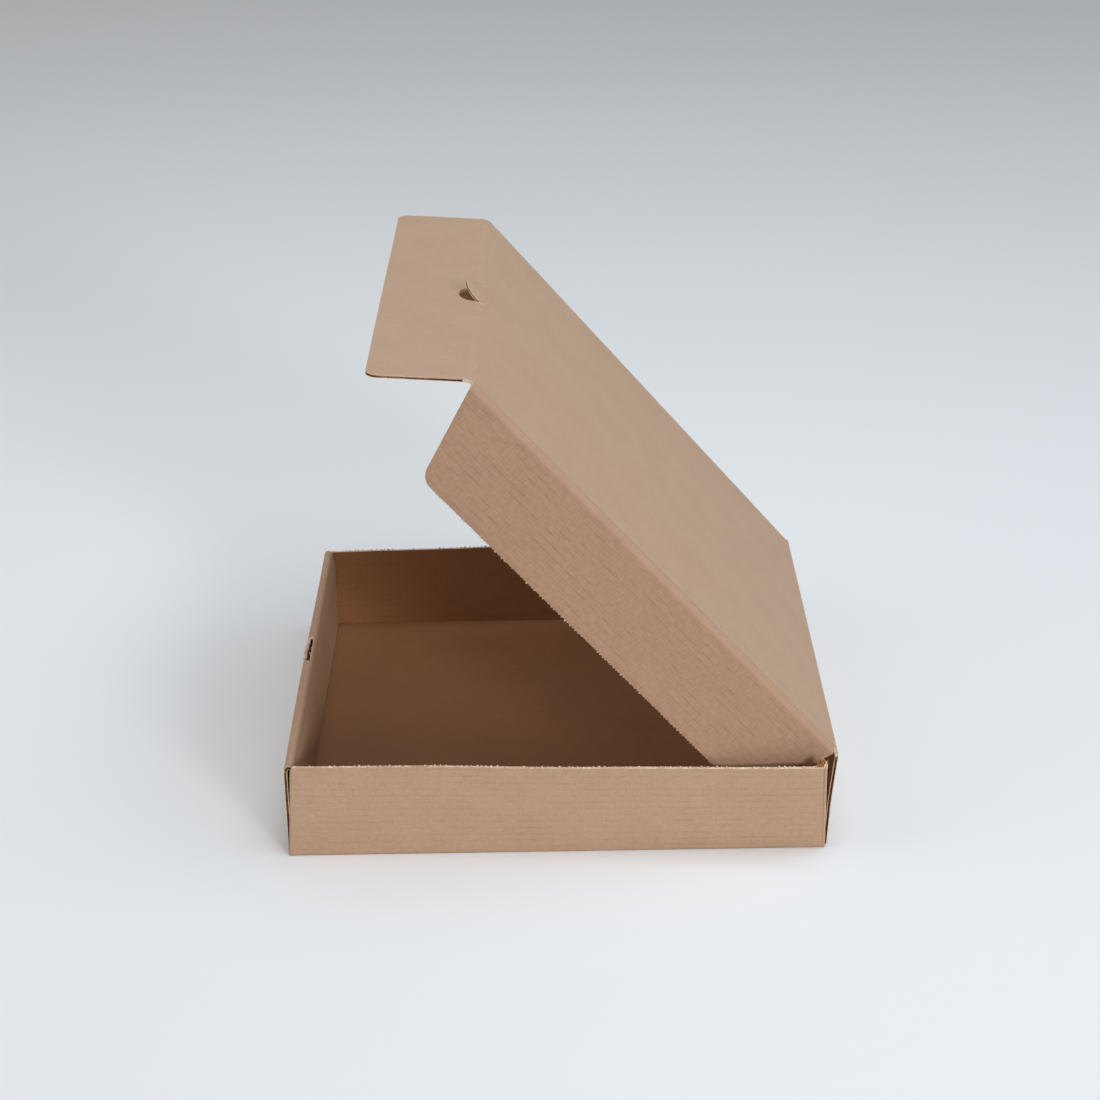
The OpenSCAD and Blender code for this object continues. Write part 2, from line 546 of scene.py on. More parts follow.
@dataclass(frozen=True)
class Stretch:
    """One stretch of a fold path, round where it has a radius, which is positive for a left turn."""

    start: float
    length: float
    origin: Array
    way: Array
    radius: float

    def spots(self, distance: Array, height: Array) -> Array:
        """Places points on the stretch.

        Args:
            distance: how far along the whole path.
            height: how far off the board's middle, to the left of the way it runs.
        Returns:
            Two plane coordinates for each point.
        """
        along = distance - self.start
        left = np.array([-self.way[1], self.way[0]])
        if self.radius == 0.0:
            return self.origin + along[:, None] * self.way + height[:, None] * left
        angle = along / self.radius
        arm = height - self.radius
        arm = np.minimum(arm, -TIGHTEST_FOLD) if self.radius > 0 else np.maximum(arm, TIGHTEST_FOLD)
        turned = np.stack([
            left[0] * np.cos(angle) - left[1] * np.sin(angle),
            left[0] * np.sin(angle) + left[1] * np.cos(angle),
        ], axis=1)
        return self.origin + left * self.radius + arm[:, None] * turned


@dataclass
class FoldPath:
    """A line in a plane with its corners rounded, measured along the board's middle.

    Straight and round stretches take turns, with a round one for each inner corner. Heights above the
    line are positive on the left of the way it runs.
    """

    corners: list[tuple[float, float]]
    radii: list[float]
    stretches: list[Stretch] = field(init=False, default_factory=list)
    length: float = field(init=False, default=0.0)

    def __post_init__(self) -> None:
        """Works out the straight and round stretches."""
        points = [np.array(p, float) for p in self.corners]
        ways = [(b - a) / np.linalg.norm(b - a) for a, b in zip(points, points[1:])]
        here = points[0]
        for corner, way, after, radius in zip(points[1:], ways, ways[1:], self.radii):
            bend = math.atan2(way[0] * after[1] - way[1] * after[0], float(way @ after))
            cut = radius * math.tan(abs(bend) / 2)
            stop = corner - way * cut
            self._add(float((stop - here) @ way), here, way)
            self._add(radius * abs(bend), stop, way, math.copysign(radius, bend))
            here = corner + after * cut
        self._add(float((points[-1] - here) @ ways[-1]), here, ways[-1])

    def _add(self, length: float, origin: Array, way: Array, radius: float = 0.0) -> None:
        """Adds one stretch to the end of the path."""
        self.stretches.append(Stretch(self.length, length, origin, way, radius))
        self.length += length

    def starts(self) -> list[float]:
        """Where each stretch starts."""
        return [stretch.start for stretch in self.stretches]

    def at(self, distance: Array, height: Array) -> tuple[Array, Array]:
        """Places points along the path.

        Args:
            distance: how far along the board's middle.
            height: how far off the middle, to the left of the way it runs.
        Returns:
            The two plane coordinates.
        """
        distance, height = np.broadcast_arrays(np.asarray(distance, float), np.asarray(height, float))
        numbers = np.maximum(np.searchsorted(self.starts(), distance, side="right") - 1, 0)
        spots = np.zeros(distance.shape + (2,))
        for number, stretch in enumerate(self.stretches):
            chosen = numbers == number
            spots[chosen] = stretch.spots(distance[chosen], height[chosen])
        return spots[..., 0], spots[..., 1]


def crease_path(
    start: Sequence[float], corner: Sequence[float], end: Sequence[float], reach: float, bend: float
) -> FoldPath:
    """The round way of a crease between two flat boards.

    Args:
        start: where the first board ends.
        corner: where the boards' middles would meet.
        end: where the second board starts.
        reach: how far the round may run from the corner.
        bend: angle of the fold.
    Returns:
        The path of the board's middle.
    """
    radius = CREASE_ROUND * reach / math.tan(0.5 * bend)
    return FoldPath([tuple(start), tuple(corner), tuple(end)], [radius])


@dataclass
class BoardMesh:
    """Collects board panels as vertices and faces, then makes one mesh object of them."""

    thickness: float
    liner: float = 0.22 * MM
    recess: float = CUT_REACH
    sharp: float = math.radians(38.0)
    points: list[Array] = field(default_factory=list)
    sheet: list[Array] = field(default_factory=list)
    faces: list[tuple[int, ...]] = field(default_factory=list)
    kinds: list[int] = field(default_factory=list)
    count: int = 0

    def _add(self, spots: Array, flat: Array) -> Array:
        """Adds a grid of vertices.

        Args:
            spots: the vertices in the row frame.
            flat: their places in the flat sheet.
        Returns:
            The vertices' numbers, in the same grid.
        """
        shape = spots.shape[:-1]
        self.points.append(spots.reshape(-1, 3))
        self.sheet.append(flat.reshape(-1, 2))
        numbers = np.arange(self.count, self.count + self.points[-1].shape[0]).reshape(shape)
        self.count += self.points[-1].shape[0]
        return numbers

    def _face(self, corners: Sequence[int], kind: Face) -> None:
        """Adds one face."""
        self.faces.append(tuple(int(c) for c in corners))
        self.kinds.append(kind.value)

    def panel(
        self,
        place: Place,
        across: Array,
        along: Array,
        keep: Array | None = None,
        shrink: Array | None = None,
        open_ends: OpenEnds | None = None,
    ) -> None:
        """Adds one panel of board given as a grid in the flat sheet.

        Args:
            place: folds flat coordinates and a height into the row frame.
            across: flat coordinate across the flutes, one for each grid point.
            along: flat coordinate along the flutes, one for each grid point.
            keep: which grid cells exist, all if not given.
            shrink: share of the full thickness at each grid point.
            open_ends: says whether a border edge between two grid points shows its flutes.
        """
        rows, columns = across.shape
        keep = np.ones((rows - 1, columns - 1), bool) if keep is None else keep
        half = 0.5 * self.thickness * (np.ones(across.shape) if shrink is None else shrink)
        flat = np.stack([across, along], axis=-1)
        top = self._add(place(across, along, half), flat)
        low = self._add(place(across, along, -half), flat + np.array([0.0, 1.0]))
        border: dict[Edge, bool] = {}
        for i, j in zip(*np.nonzero(keep)):
            ring = [(i, j), (i, j + 1), (i + 1, j + 1), (i + 1, j)]
            self._face([top[c] for c in ring], Face.OUTSIDE)
            self._face([low[c] for c in ring[::-1]], Face.INSIDE)
            for a, b in zip(ring, ring[1:] + ring[:1]):
                if (b, a) in border:
                    del border[(b, a)]
                else:
                    border[(a, b)] = True
        chosen = [edge for edge in border if open_ends is not None and open_ends(*edge[0], *edge[1])]
        rims = self._rims(place, flat, half, chosen)
        for a, b in border:
            open_edge = (a, b) in chosen and (a in rims or b in rims)
            left = [top[a], *rims.get(a, ()), low[a]] if open_edge else [top[a], low[a]]
            right = [top[b], *rims.get(b, ()), low[b]] if open_edge else [top[b], low[b]]
            for loop, kind in self._wall(left, right):
                self._face(loop, kind)

    def _rims(
        self, place: Place, flat: Array, half: Array, chosen: list[Edge]
    ) -> dict[Corner, tuple[int, ...]]:
        """Adds the lips and the recess behind every inner point of an open edge.

        Args:
            place: folds flat coordinates and a height into the row frame.
            flat: flat coordinates of the grid.
            half: half the board's thickness at each grid point.
            chosen: border edges that show their flutes.
        Returns:
            Grid point to its four vertices: upper lip, upper and lower recess, lower lip.
        """
        inward = {(0, 1): (1, 0), (0, -1): (-1, 0), (1, 0): (0, -1), (-1, 0): (0, 1)}
        ways: dict[Corner, list[Array]] = {}
        for a, b in chosen:
            step = inward[(b[0] - a[0], b[1] - a[1])]
            for corner in (a, b):
                inner = (corner[0] + step[0], corner[1] + step[1])
                way = flat[inner] - flat[corner]
                ways.setdefault(corner, []).append(way / max(float(np.linalg.norm(way)), 1e-9))
        rims = {}
        for corner, found in ways.items():
            if len(found) < 2:
                continue
            turned = float(found[0] @ found[1]) < 0.5
            way = found[0] + found[1] if turned else 0.5 * (found[0] + found[1])
            lip = flat[corner]
            deep = lip + way * self.recess
            reach = half[corner] - self.liner
            numbers = []
            for spot, height in ((lip, reach), (deep, reach), (deep, -reach), (lip, -reach)):
                where = place(np.array(spot[0]), np.array(spot[1]), np.array(height))
                numbers.append(int(self._add(where.reshape(1, 3), spot.reshape(1, 2))[0]))
            rims[corner] = tuple(numbers)
        return rims

    @staticmethod
    def _wall(left: list[int], right: list[int]) -> list[tuple[list[int], Face]]:
        """Faces between the upright chains at both ends of a border edge.

        Args:
            left: vertices of the first chain, from the outside to the inside.
            right: those of the second.
        Returns:
            Each face's vertices and its material slot.
        """
        if len(left) == 2 and len(right) == 2:
            return [([right[0], left[0], left[1], right[1]], Face.EDGE)]
        ends = [chain if len(chain) > 2 else [chain[0]] * 3 + [chain[1]] * 3 for chain in (left, right)]
        faces = []
        for step, kind in enumerate([Face.EDGE, Face.GROOVE, Face.GROOVE, Face.GROOVE, Face.EDGE]):
            loop = [ends[1][step], ends[0][step], ends[0][step + 1], ends[1][step + 1]]
            faces.append((list(dict.fromkeys(loop)), kind))
        return faces

    def build(self, name: str, materials: list[bpy.types.Material]) -> bpy.types.Object:
        """Makes the object.

        Args:
            name: name of the piece.
            materials: materials in the order of Face.
        Returns:
            The new object, linked to the scene.
        """
        mesh = bpy.data.meshes.new(name)
        mesh.from_pydata(np.concatenate(self.points).tolist(), [], self.faces)
        flat = np.concatenate(self.sheet)
        layer = mesh.uv_layers.new(name="sheet")
        corners = np.zeros(len(mesh.loops), int)
        mesh.loops.foreach_get("vertex_index", corners)
        layer.data.foreach_set("uv", flat[corners].astype(np.float32).ravel())
        for material in materials:
            mesh.materials.append(material)
        mesh.polygons.foreach_set("material_index", np.array(self.kinds, np.int32))
        face_outwards(mesh)
        mesh.shade_smooth()
        mesh.set_sharp_from_angle(angle=self.sharp)
        mesh.update()
        return linked(name, mesh)


@dataclass
class TrimMesh:
    """Collects the small trim of one body, such as teeth and fluting, into one mesh."""

    material: bpy.types.Material
    points: list[Array] = field(default_factory=list)
    faces: list[tuple[int, ...]] = field(default_factory=list)
    count: int = 0

    def add(self, spots: Array, faces: list[tuple[int, ...]]) -> None:
        """Adds vertices that are already in place, and their faces.

        Args:
            spots: vertices in the row frame.
            faces: faces, numbered from the first of these vertices.
        """
        self.points.append(spots)
        self.faces += [tuple(v + self.count for v in face) for face in faces]
        self.count += len(spots)

    def build(self, name: str) -> bpy.types.Object:
        """Makes the object and links it to the scene.

        Args:
            name: name of the piece.
        Returns:
            The new object.
        """
        mesh = bpy.data.meshes.new(name)
        mesh.from_pydata(np.concatenate(self.points).tolist(), [], self.faces)
        face_outwards(mesh)
        mesh.materials.append(self.material)
        mesh.shade_smooth()
        mesh.update()
        return linked(name, mesh)


# Geometry Nodes


class NodeShape(NodeGraph):
    """A geometry node tree with named inputs, evaluated once into a plain mesh."""

    SOCKETS = {float: "NodeSocketFloat", int: "NodeSocketInt"}

    def __init__(self, name: str, inputs: dict[str, float | int], material: bpy.types.Material) -> None:
        """Starts a tree with its named inputs.

        Args:
            name: name of the tree.
            inputs: input names and their values.
            material: material of everything that the tree makes.
        """
        super().__init__(bpy.data.node_groups.new(name, "GeometryNodeTree"))
        self.values = inputs
        self.material = material
        sockets = self.tree.interface
        sockets.new_socket("Geometry", in_out="OUTPUT", socket_type="NodeSocketGeometry")
        self.keys = {}
        for key, value in inputs.items():
            made = sockets.new_socket(key, in_out="INPUT", socket_type=self.SOCKETS[type(value)])
            self.keys[key] = made.identifier
        self.inputs = self.tree.nodes.new("NodeGroupInput")
        self.output = self.tree.nodes.new("NodeGroupOutput")

    def value(self, name: str) -> Value:
        """One of the tree's named inputs."""
        return Value(self, self.inputs.outputs[name])

    def vector(self, parts: dict[str, Any]) -> bpy.types.NodeSocket:
        """A vector put together from its named parts."""
        return self.node("ShaderNodeCombineXYZ", {}, parts).outputs[0]

    def row(self, spacing: str) -> bpy.types.NodeSocket:
        """Points in a line along X, as many as the input Count says.

        Args:
            spacing: name of the input that gives the distance between them.
        Returns:
            The points.
        """
        step = self.vector({"X": self.value(spacing)})
        line = self.node(
            "GeometryNodeMeshLine", {"mode": "OFFSET"}, {"Count": self.value("Count"), "Offset": step}
        )
        return line.outputs[0]

    def random(self, low: Sequence[float], high: Sequence[float], seed: Any) -> bpy.types.NodeSocket:
        """A random vector for each point.

        Args:
            low: least value of each of its parts.
            high: greatest value of each of its parts.
            seed: seed of the draw.
        Returns:
            The vector socket.
        """
        made = self.node(
            "FunctionNodeRandomValue", {"data_type": "FLOAT_VECTOR"}, {0: low, 1: high, "Seed": seed}
        )
        return made.outputs[0]

    def mesh(self, geometry: bpy.types.NodeSocket) -> MeshParts:
        """Ends the tree, evaluates it and takes it apart again.

        Args:
            geometry: the last geometry socket.
        Returns:
            The vertices and the faces of the realized mesh.
        """
        real = self.node("GeometryNodeRealizeInstances", {}, {"Geometry": geometry})
        dressed = self.node(
            "GeometryNodeSetMaterial", {}, {"Geometry": real.outputs[0], "Material": self.material}
        )
        self.tree.links.new(dressed.outputs[0], self.output.inputs[0])
        holder = linked("holder", bpy.data.meshes.new("holder"))
        modifier = holder.modifiers.new("shape", "NODES")
        modifier.node_group = self.tree
        for key, value in self.values.items():
            modifier[self.keys[key]] = value
        bpy.context.view_layer.update()
        evaluated = holder.evaluated_get(bpy.context.evaluated_depsgraph_get())
        made = bpy.data.meshes.new_from_object(evaluated)
        spots = np.array([v.co for v in made.vertices], float).reshape(-1, 3)
        faces = [tuple(p.vertices) for p in made.polygons]
        holder.modifiers.remove(modifier)
        bpy.data.objects.remove(holder)
        bpy.data.meshes.remove(made)
        return spots, faces


@dataclass(frozen=True)
class FluteWave:
    """The wavy paper between the liners, seen in an open end of the board."""

    height: float
    paper: float
    depth: float = 1.4 * MM
    seat: float = 0.75 * MM
    steps: int = 10

    def mesh(self, length: float, material: bpy.types.Material) -> MeshParts:
        """Makes a strip of fluting.

        Args:
            length: length of the open end.
            material: fluting material.
        Returns:
            Vertices with X along the end, Y into the board and Z across it, and the faces.
        """
        inputs = {
            "Length": length, "Depth": self.depth, "Height": self.height, "Pitch": FLUTE_PITCH,
            "Columns": int(length / FLUTE_PITCH * self.steps) + 1, "Paper": self.paper,
        }
        shape = NodeShape("flute_wave", inputs, material)
        grid = shape.node(
            "GeometryNodeMeshGrid", {},
            {
                "Size X": shape.value("Length"), "Size Y": shape.value("Depth"),
                "Vertices X": shape.value("Columns"), "Vertices Y": 3,
            },
        )
        place = shape.node("GeometryNodeInputPosition", {}, {})
        split = shape.node("ShaderNodeSeparateXYZ", {}, {0: place.outputs[0]})
        turns = Value(shape, split.outputs["X"]) / shape.value("Pitch")
        rise = (turns * (2.0 * math.pi)).sine() * shape.value("Height")
        bent = shape.node(
            "GeometryNodeSetPosition", {},
            {"Geometry": grid.outputs["Mesh"], "Offset": shape.vector({"Z": rise})},
        )
        upper = shape.node(
            "GeometryNodeExtrudeMesh", {"mode": "FACES"},
            {
                "Mesh": bent.outputs[0], "Offset": (0.0, 0.0, 1.0),
                "Offset Scale": shape.value("Paper"), "Individual": False,
            },
        )
        under = shape.node("GeometryNodeFlipFaces", {}, {"Mesh": bent.outputs[0]})
        both = shape.node("GeometryNodeJoinGeometry", {}, {})
        for part in (under.outputs[0], upper.outputs["Mesh"]):
            shape.tree.links.new(part, both.inputs[0])
        closed = shape.node(
            "GeometryNodeMergeByDistance", {}, {"Geometry": both.outputs[0], "Distance": 0.01 * MM}
        )
        return shape.mesh(closed.outputs[0])


@dataclass(frozen=True)
class KnifeTeeth:
    """Row of small teeth that a toothed cutting rule leaves along an edge.

    Each tooth has its own share of the sizes, between smallest and largest, and its own slip.
    """

    pitch: float
    height: float
    thickness: float
    seed: int
    smallest: tuple[float, float, float] = (0.45, 0.55, 0.55)
    largest: tuple[float, float, float] = (0.9, 0.95, 1.2)
    slip: tuple[float, float] = (0.25, 0.12)

    def mesh(self, length: float, material: bpy.types.Material) -> MeshParts:
        """Makes the row.

        Args:
            length: length of the toothed edge.
            material: raw paper material.
        Returns:
            Vertices with X along the edge, Y through the board and Z out of the edge, and the faces.
        """
        inputs = {
            "Count": int(length / self.pitch), "Pitch": self.pitch, "Height": self.height,
            "Thickness": self.thickness, "Seed": self.seed,
        }
        shape = NodeShape("knife_teeth", inputs, material)
        tooth = shape.node(
            "GeometryNodeMeshCone", {},
            {"Vertices": 8, "Side Segments": 2, "Radius Top": 0.16, "Radius Bottom": 0.5, "Depth": 1.0},
        )
        sizes = {"X": shape.value("Pitch"), "Y": shape.value("Thickness"), "Z": shape.value("Height")}
        share = shape.random(self.smallest, self.largest, shape.value("Seed"))
        scale = shape.node(
            "ShaderNodeVectorMath", {"operation": "MULTIPLY"}, {0: shape.vector(sizes), 1: share}
        )
        off = np.array([self.slip[0] * self.pitch, self.slip[1] * self.thickness, 0.0])
        slip = shape.random(tuple(-off), tuple(off), self.seed + 1)
        shaken = shape.node(
            "GeometryNodeSetPosition", {}, {"Geometry": shape.row("Pitch"), "Offset": slip}
        )
        row = shape.node(
            "GeometryNodeInstanceOnPoints", {},
            {"Points": shaken.outputs[0], "Instance": tooth.outputs["Mesh"], "Scale": scale.outputs[0]},
        )
        return shape.mesh(row.outputs[0])


@dataclass(frozen=True)
class TornFibres:
    """Tuft of short paper fibres standing along a torn edge, each tilted, spun and scaled by chance."""

    length: float
    width: float
    spacing: float
    seed: int
    tilt: float = 0.9
    spin: float = 6.2
    smallest: tuple[float, float, float] = (0.5, 0.5, 0.3)
    largest: tuple[float, float, float] = (1.8, 1.0, 1.1)

    def mesh(self, run: float, material: bpy.types.Material) -> MeshParts:
        """Makes the tuft.

        Args:
            run: length of the torn edge.
            material: raw paper material.
        Returns:
            Vertices with X along the tear and Z out of it, and the faces.
        """
        inputs = {"Count": int(run / self.spacing), "Spacing": self.spacing, "Seed": self.seed}
        shape = NodeShape("torn_fibres", inputs, material)
        fibre = shape.node(
            "GeometryNodeMeshCone", {},
            {
                "Vertices": 5, "Side Segments": 2, "Radius Top": 0.15 * self.width,
                "Radius Bottom": 0.5 * self.width, "Depth": self.length,
            },
        )
        low = (-self.tilt, -self.tilt, 0.0)
        turn = shape.random(low, (self.tilt, self.tilt, self.spin), shape.value("Seed"))
        tuft = shape.node(
            "GeometryNodeInstanceOnPoints", {},
            {
                "Points": shape.row("Spacing"), "Instance": fibre.outputs["Mesh"],
                "Rotation": shape.node("FunctionNodeEulerToRotation", {}, {0: turn}).outputs[0],
                "Scale": shape.random(self.smallest, self.largest, self.seed + 1),
            },
        )
        return shape.mesh(tuft.outputs[0])


# Measures taken from the frame


@dataclass
class BoxMeasures:
    """Sizes that every panel needs, in metres. Those without a value here are read from the frame."""

    board: float = 1.5 * MM
    side_h: float = 45.4 * MM
    front_h: float = 43.6 * MM
    front_depth: float = 5.5 * MM
    ply_gap: float = 0.5 * MM
    half_w: float = 118.0 * MM
    half_l: float = 118.1 * MM
    fold_reach: float = 2.2 * MM
    hinge: Array = field(init=False)
    lid_l: float = field(init=False)
    lid_half_w: float = field(init=False)
    lid_way: Array = field(init=False)
    lid_out: Array = field(init=False)
    splay: float = field(init=False)

    def __post_init__(self) -> None:
        """Reads the joints and the tray's box."""
        spots = {j["name"]: np.array(j["pos_m"], float) for j in frame["joints"]}
        self.hinge = spots["lid_hinge"]
        self.lid_half_w = float(spots["right_flap_fold"][0])
        reach = spots["front_flap_fold"] - self.hinge
        self.lid_l = float(np.linalg.norm(reach))
        self.lid_way = reach / self.lid_l
        self.lid_out = np.array([0.0, -self.lid_way[2], self.lid_way[1]])
        if self.lid_out[2] < 0:
            self.lid_out = -self.lid_out
        self.splay = float(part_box("tray")[1].x) - self.half_w


# Tray


@dataclass
class Tray:
    """Base, walls and corner tabs of the box."""

    size: BoxMeasures
    finishes: Finishes
    cell: float = 4.0 * MM
    fold_r: float = 0.45 * MM
    base_inset: float = 2.0 * MM
    base_edge: float = 3.0 * MM
    side_ripples: tuple[Ripple, ...] = (Ripple(0.45 * MM, 31.0, 0.6), Ripple(0.3 * MM, 67.0, 1.9))
    tooth_h: float = 0.65 * MM
    tooth_pitch: float = 2.2 * MM
    tooth_room: float = 9.0 * MM
    rim_drop: float = 0.9 * MM
    left_drop: float = 1.7 * MM
    left_ease: float = 0.8
    roll_r: float = 1.4 * MM
    roll_w: float = 2.6 * MM
    roll_lean: float = 0.05 * MM
    roll_room: float = 3.0 * MM
    bulge_z: float = 35.0 * MM
    bulge_r: float = 8.0 * MM
    inner_foot: float = 2.3 * MM
    front_end: float = 0.15 * MM
    set_back: float = 1.9 * MM
    set_back_run: tuple[float, float] = (3.0 * MM, 29.0 * MM)
    front_ripple: Ripple = Ripple(0.25 * MM, 27.0, 0.8)
    slit_half: float = 13.0 * MM
    slit_w: float = 2.6 * MM
    slit_share: float = 0.75
    lip_h: float = 1.1 * MM
    lip_reach: float = 1.5 * MM
    lip_past: float = 1.0 * MM
    jag_across: float = 0.9 / MM
    jag_along: float = 40.0 / MM
    back_end: float = 2.2 * MM
    back_ripple: Ripple = Ripple(0.4 * MM, 24.0, 2.0)
    corner_r: float = 0.45 * MM
    front_slip: tuple[float, float] = (1.9 * MM, -0.8 * MM)
    back_slip: tuple[float, float] = (1.3 * MM, 0.2 * MM)
    slip_run: float = 4.0 * MM
    tab_l: float = 42.0 * MM
    tab_foot: float = 0.3 * MM
    tab_lift: float = 1.6 * MM
    tab_taper: float = 8.0 * MM
    front_tab_top: float = 36.0 * MM
    back_tab_top: float = 28.0 * MM
    shoulder: tuple[float, float] = (6.0 * MM, 8.0 * MM)
    shoulder_drop: float = 3.0 * MM
    ply: float = 0.35 * MM

    def lean(self, along: Array) -> Array:
        """Angle that the side walls lean out at a place along the tray.

        Args:
            along: place along the tray.
        Returns:
            The angle in radians.
        """
        size = self.size
        end = size.half_l - size.board - size.ply_gap
        return np.arcsin(size.splay * portion(along, -end, end) / size.side_h)

    def fold_sides(self, across: Array, along: Array, height: Array) -> Array:
        """Folds the base and the side walls: flat sheet to row frame.

        Args:
            across: distance from the base's middle, along the board.
            along: place along the tray.
            height: distance from the board's middle, outside positive.
        Returns:
            Points in the row frame.
        """
        size = self.size
        across, along, height = np.broadcast_arrays(across, along, height)
        middle = 0.5 * size.board
        bend = 0.5 * math.pi - self.lean(along)
        side = np.where(across < 0, -1.0, 1.0)
        run = np.abs(across)
        flat_end = size.half_w - middle - self.fold_r * np.tan(0.5 * bend)
        turn = np.clip((run - flat_end) / self.fold_r, 0.0, bend)
        past = np.maximum(run - flat_end - self.fold_r * bend, 0.0)
        arm = np.maximum(self.fold_r + height, TIGHTEST_FOLD - past) + self.wall_bow(past, along)
        inside = run < flat_end
        x = np.where(inside, run, flat_end + arm * np.sin(turn) + past * np.cos(bend))
        z = np.where(inside, middle - height, middle + self.fold_r - arm * np.cos(turn) + past * np.sin(bend))
        return np.stack([side * x, along, z], axis=-1)

    def wall_bow(self, past: Array, along: Array) -> Array:
        """Slow waves that the side walls stand in, nothing at the fold."""
        return portion(past, 0.0, self.size.side_h) * sum(wave.at(along) for wave in self.side_ripples)

    def rim(self, side: float, along: float) -> float:
        """Height of a side wall's cut edge along the board, a little lower on the left wall's front.

        Args:
            side: 1 for the right wall, -1 for the left one.
            along: place along the tray.
        Returns:
            The height below the teeth.
        """
        share = 0.5 + 0.5 * along / self.size.half_l
        worn = self.left_drop * (1.0 - self.left_ease * share) if side < 0 else 0.0
        return self.size.side_h - self.tooth_h - self.rim_drop - worn

    def wall_run(self, along: float, side: float = 1.0) -> tuple[float, float]:
        """Flat distances from the base's middle to a side wall's foot and to its top edge.

        Args:
            along: place along the tray.
            side: 1 for the right wall, -1 for the left one.
        Returns:
            The two distances.
        """
        size = self.size
        bend = 0.5 * math.pi - float(self.lean(np.array(along)))
        spare = 0.5 * size.board + self.fold_r * math.tan(0.5 * bend)
        foot = size.half_w - spare + self.fold_r * bend
        return foot, foot + self.rim(side, along) - spare

    def corner_slip(self, up: Array, front: bool) -> Array:
        """How far a side wall's upright end stands out past the flat of its tab at a height."""
        low, high = self.front_slip if front else self.back_slip
        return low + (high - low) * portion(up, 0.0, self.size.side_h)

    def side_sheet(self, mesh: BoardMesh) -> None:
        """Adds the base with its two side walls.

        Args:
            mesh: mesh that the panel is added to.
        """
        size = self.size
        fold_steps = 7
        wall_steps = 14
        fold_cover = 1.6 * self.fold_r
        base_end = size.half_l - self.base_inset
        end = size.half_l - 1.5 * size.board - size.ply_gap - self.corner_r
        shares = spread(0.0, 1.0, self.cell / (2 * size.half_l))
        rows = []
        for share in shares:
            halves = []
            for side in (-1.0, 1.0):
                foot, top = self.wall_run(-end + share * 2 * end, side)
                flat = foot - fold_cover
                base = spread(0.0, flat, self.cell)
                fold = np.linspace(flat, foot, fold_steps)
                halves.append(joined(base, fold, np.linspace(foot, top, wall_steps)))
            rows.append(np.concatenate([-halves[0][::-1], halves[1][1:]]))
        across = np.array(rows)
        on_base = np.abs(across) < (size.half_w - self.base_edge)
        up = np.maximum(np.abs(across) - size.half_w, 0.0)
        low = np.where(on_base, -base_end, -end - self.corner_slip(up, True))
        high = np.where(on_base, base_end, end + self.corner_slip(up, False))
        along = low + shares[:, None] * (high - low)
        mesh.panel(self.fold_sides, across, along)

    def front_path(self) -> FoldPath:
        """The front wall's way from the base over the top and down inside.

        Its round stretches are the foot, the two bends of the roll and the inner layer's bulge.

        Returns:
            The path in the plane across the wall.
        """
        size = self.size
        middle = 0.5 * size.board
        outer = -size.half_l + middle
        inner = -size.half_l + size.front_depth - middle
        top = size.front_h - middle
        corners = [
            (-size.half_l + self.base_inset, middle), (outer, middle), (outer - self.roll_lean, top),
            (outer - self.roll_lean + self.roll_w, top), (inner, self.bulge_z), (inner, self.inner_foot),
        ]
        return FoldPath(corners, [self.fold_r, self.roll_r, self.roll_r, self.bulge_r])

    def slit_run(self, path: FoldPath) -> float:
        """How far along the front wall's path the lock slit lies, on the outer bend of the roll."""
        bend = path.stretches[3]
        return bend.start + self.slit_share * bend.length

    def fold_front(self, across: Array, along: Array, height: Array) -> Array:
        """Folds the front wall: flat sheet to row frame.

        Args:
            across: distance from the box's middle.
            along: place along the flat sheet.
            height: distance from the board's middle, outside positive.
        Returns:
            Points in the row frame.
        """
        path = self.front_path()
        run = -along - (self.size.half_l - self.base_inset)
        wave = self.front_ripple.at(across) * np.sin(portion(run, 0.0, path.length) * math.pi)
        near_slit = np.exp(-((run - self.slit_run(path)) / self.lip_reach) ** 2)
        along_slit = np.clip(1.0 - (across / (self.slit_half + self.lip_past)) ** 2, 0.0, 1.0)
        torn = 0.75 + 0.25 * np.sin(across * self.jag_across + run * self.jag_along)
        lift = wave + self.lip_h * near_slit * along_slit * torn
        y, z = path.at(run, np.asarray(height) + lift)
        return np.stack([np.broadcast_to(across, y.shape), y, z], axis=-1)

    def front_sheet(self, mesh: BoardMesh) -> None:
        """Adds the roll-over front wall with the lock slit cut in its top fold.

        Args:
            mesh: mesh that the panel is added to.
        """
        size = self.size
        path = self.front_path()
        starts = path.starts()
        crown = self.slit_run(path)
        half_slit = 0.5 * self.slit_w
        roll = starts[3] - self.roll_room
        # Grid lines stand closer together at the folds and at the slit.
        runs = joined(
            np.linspace(0.0, starts[2], 8),
            spread(starts[2], roll, self.cell),
            np.linspace(roll, crown - half_slit, 10),
            np.linspace(crown - half_slit, crown + half_slit, 4),
            np.linspace(crown + half_slit, starts[6], 12),
            spread(starts[6], starts[8], self.cell),
            spread(starts[8], path.length, self.cell),
        )
        inner_half = size.half_w - size.board - size.ply_gap
        set_back = self.set_back * (1.0 - portion(runs, *self.set_back_run))
        outer_half = size.half_w - self.front_end - set_back
        half_widths = np.where(runs < starts[3] - 0.5 * MM, outer_half, inner_half)
        slit_end = self.slit_half / inner_half
        shares = joined(
            np.linspace(-1.0, -slit_end, 27),
            np.linspace(-slit_end, slit_end, 31),
            np.linspace(slit_end, 1.0, 27),
        )
        across = half_widths[:, None] * shares[None, :]
        along = -(runs[:, None] + size.half_l - self.base_inset) + 0.0 * across
        middle_run = 0.5 * (runs[:-1] + runs[1:])
        middle_across = 0.5 * (shares[:-1] + shares[1:]) * inner_half
        in_slit = np.abs(middle_run - crown)[:, None] < half_slit
        keep = ~(in_slit & (np.abs(middle_across)[None, :] < self.slit_half))
        mesh.panel(self.fold_front, across, along, keep, open_ends=end_columns(across))

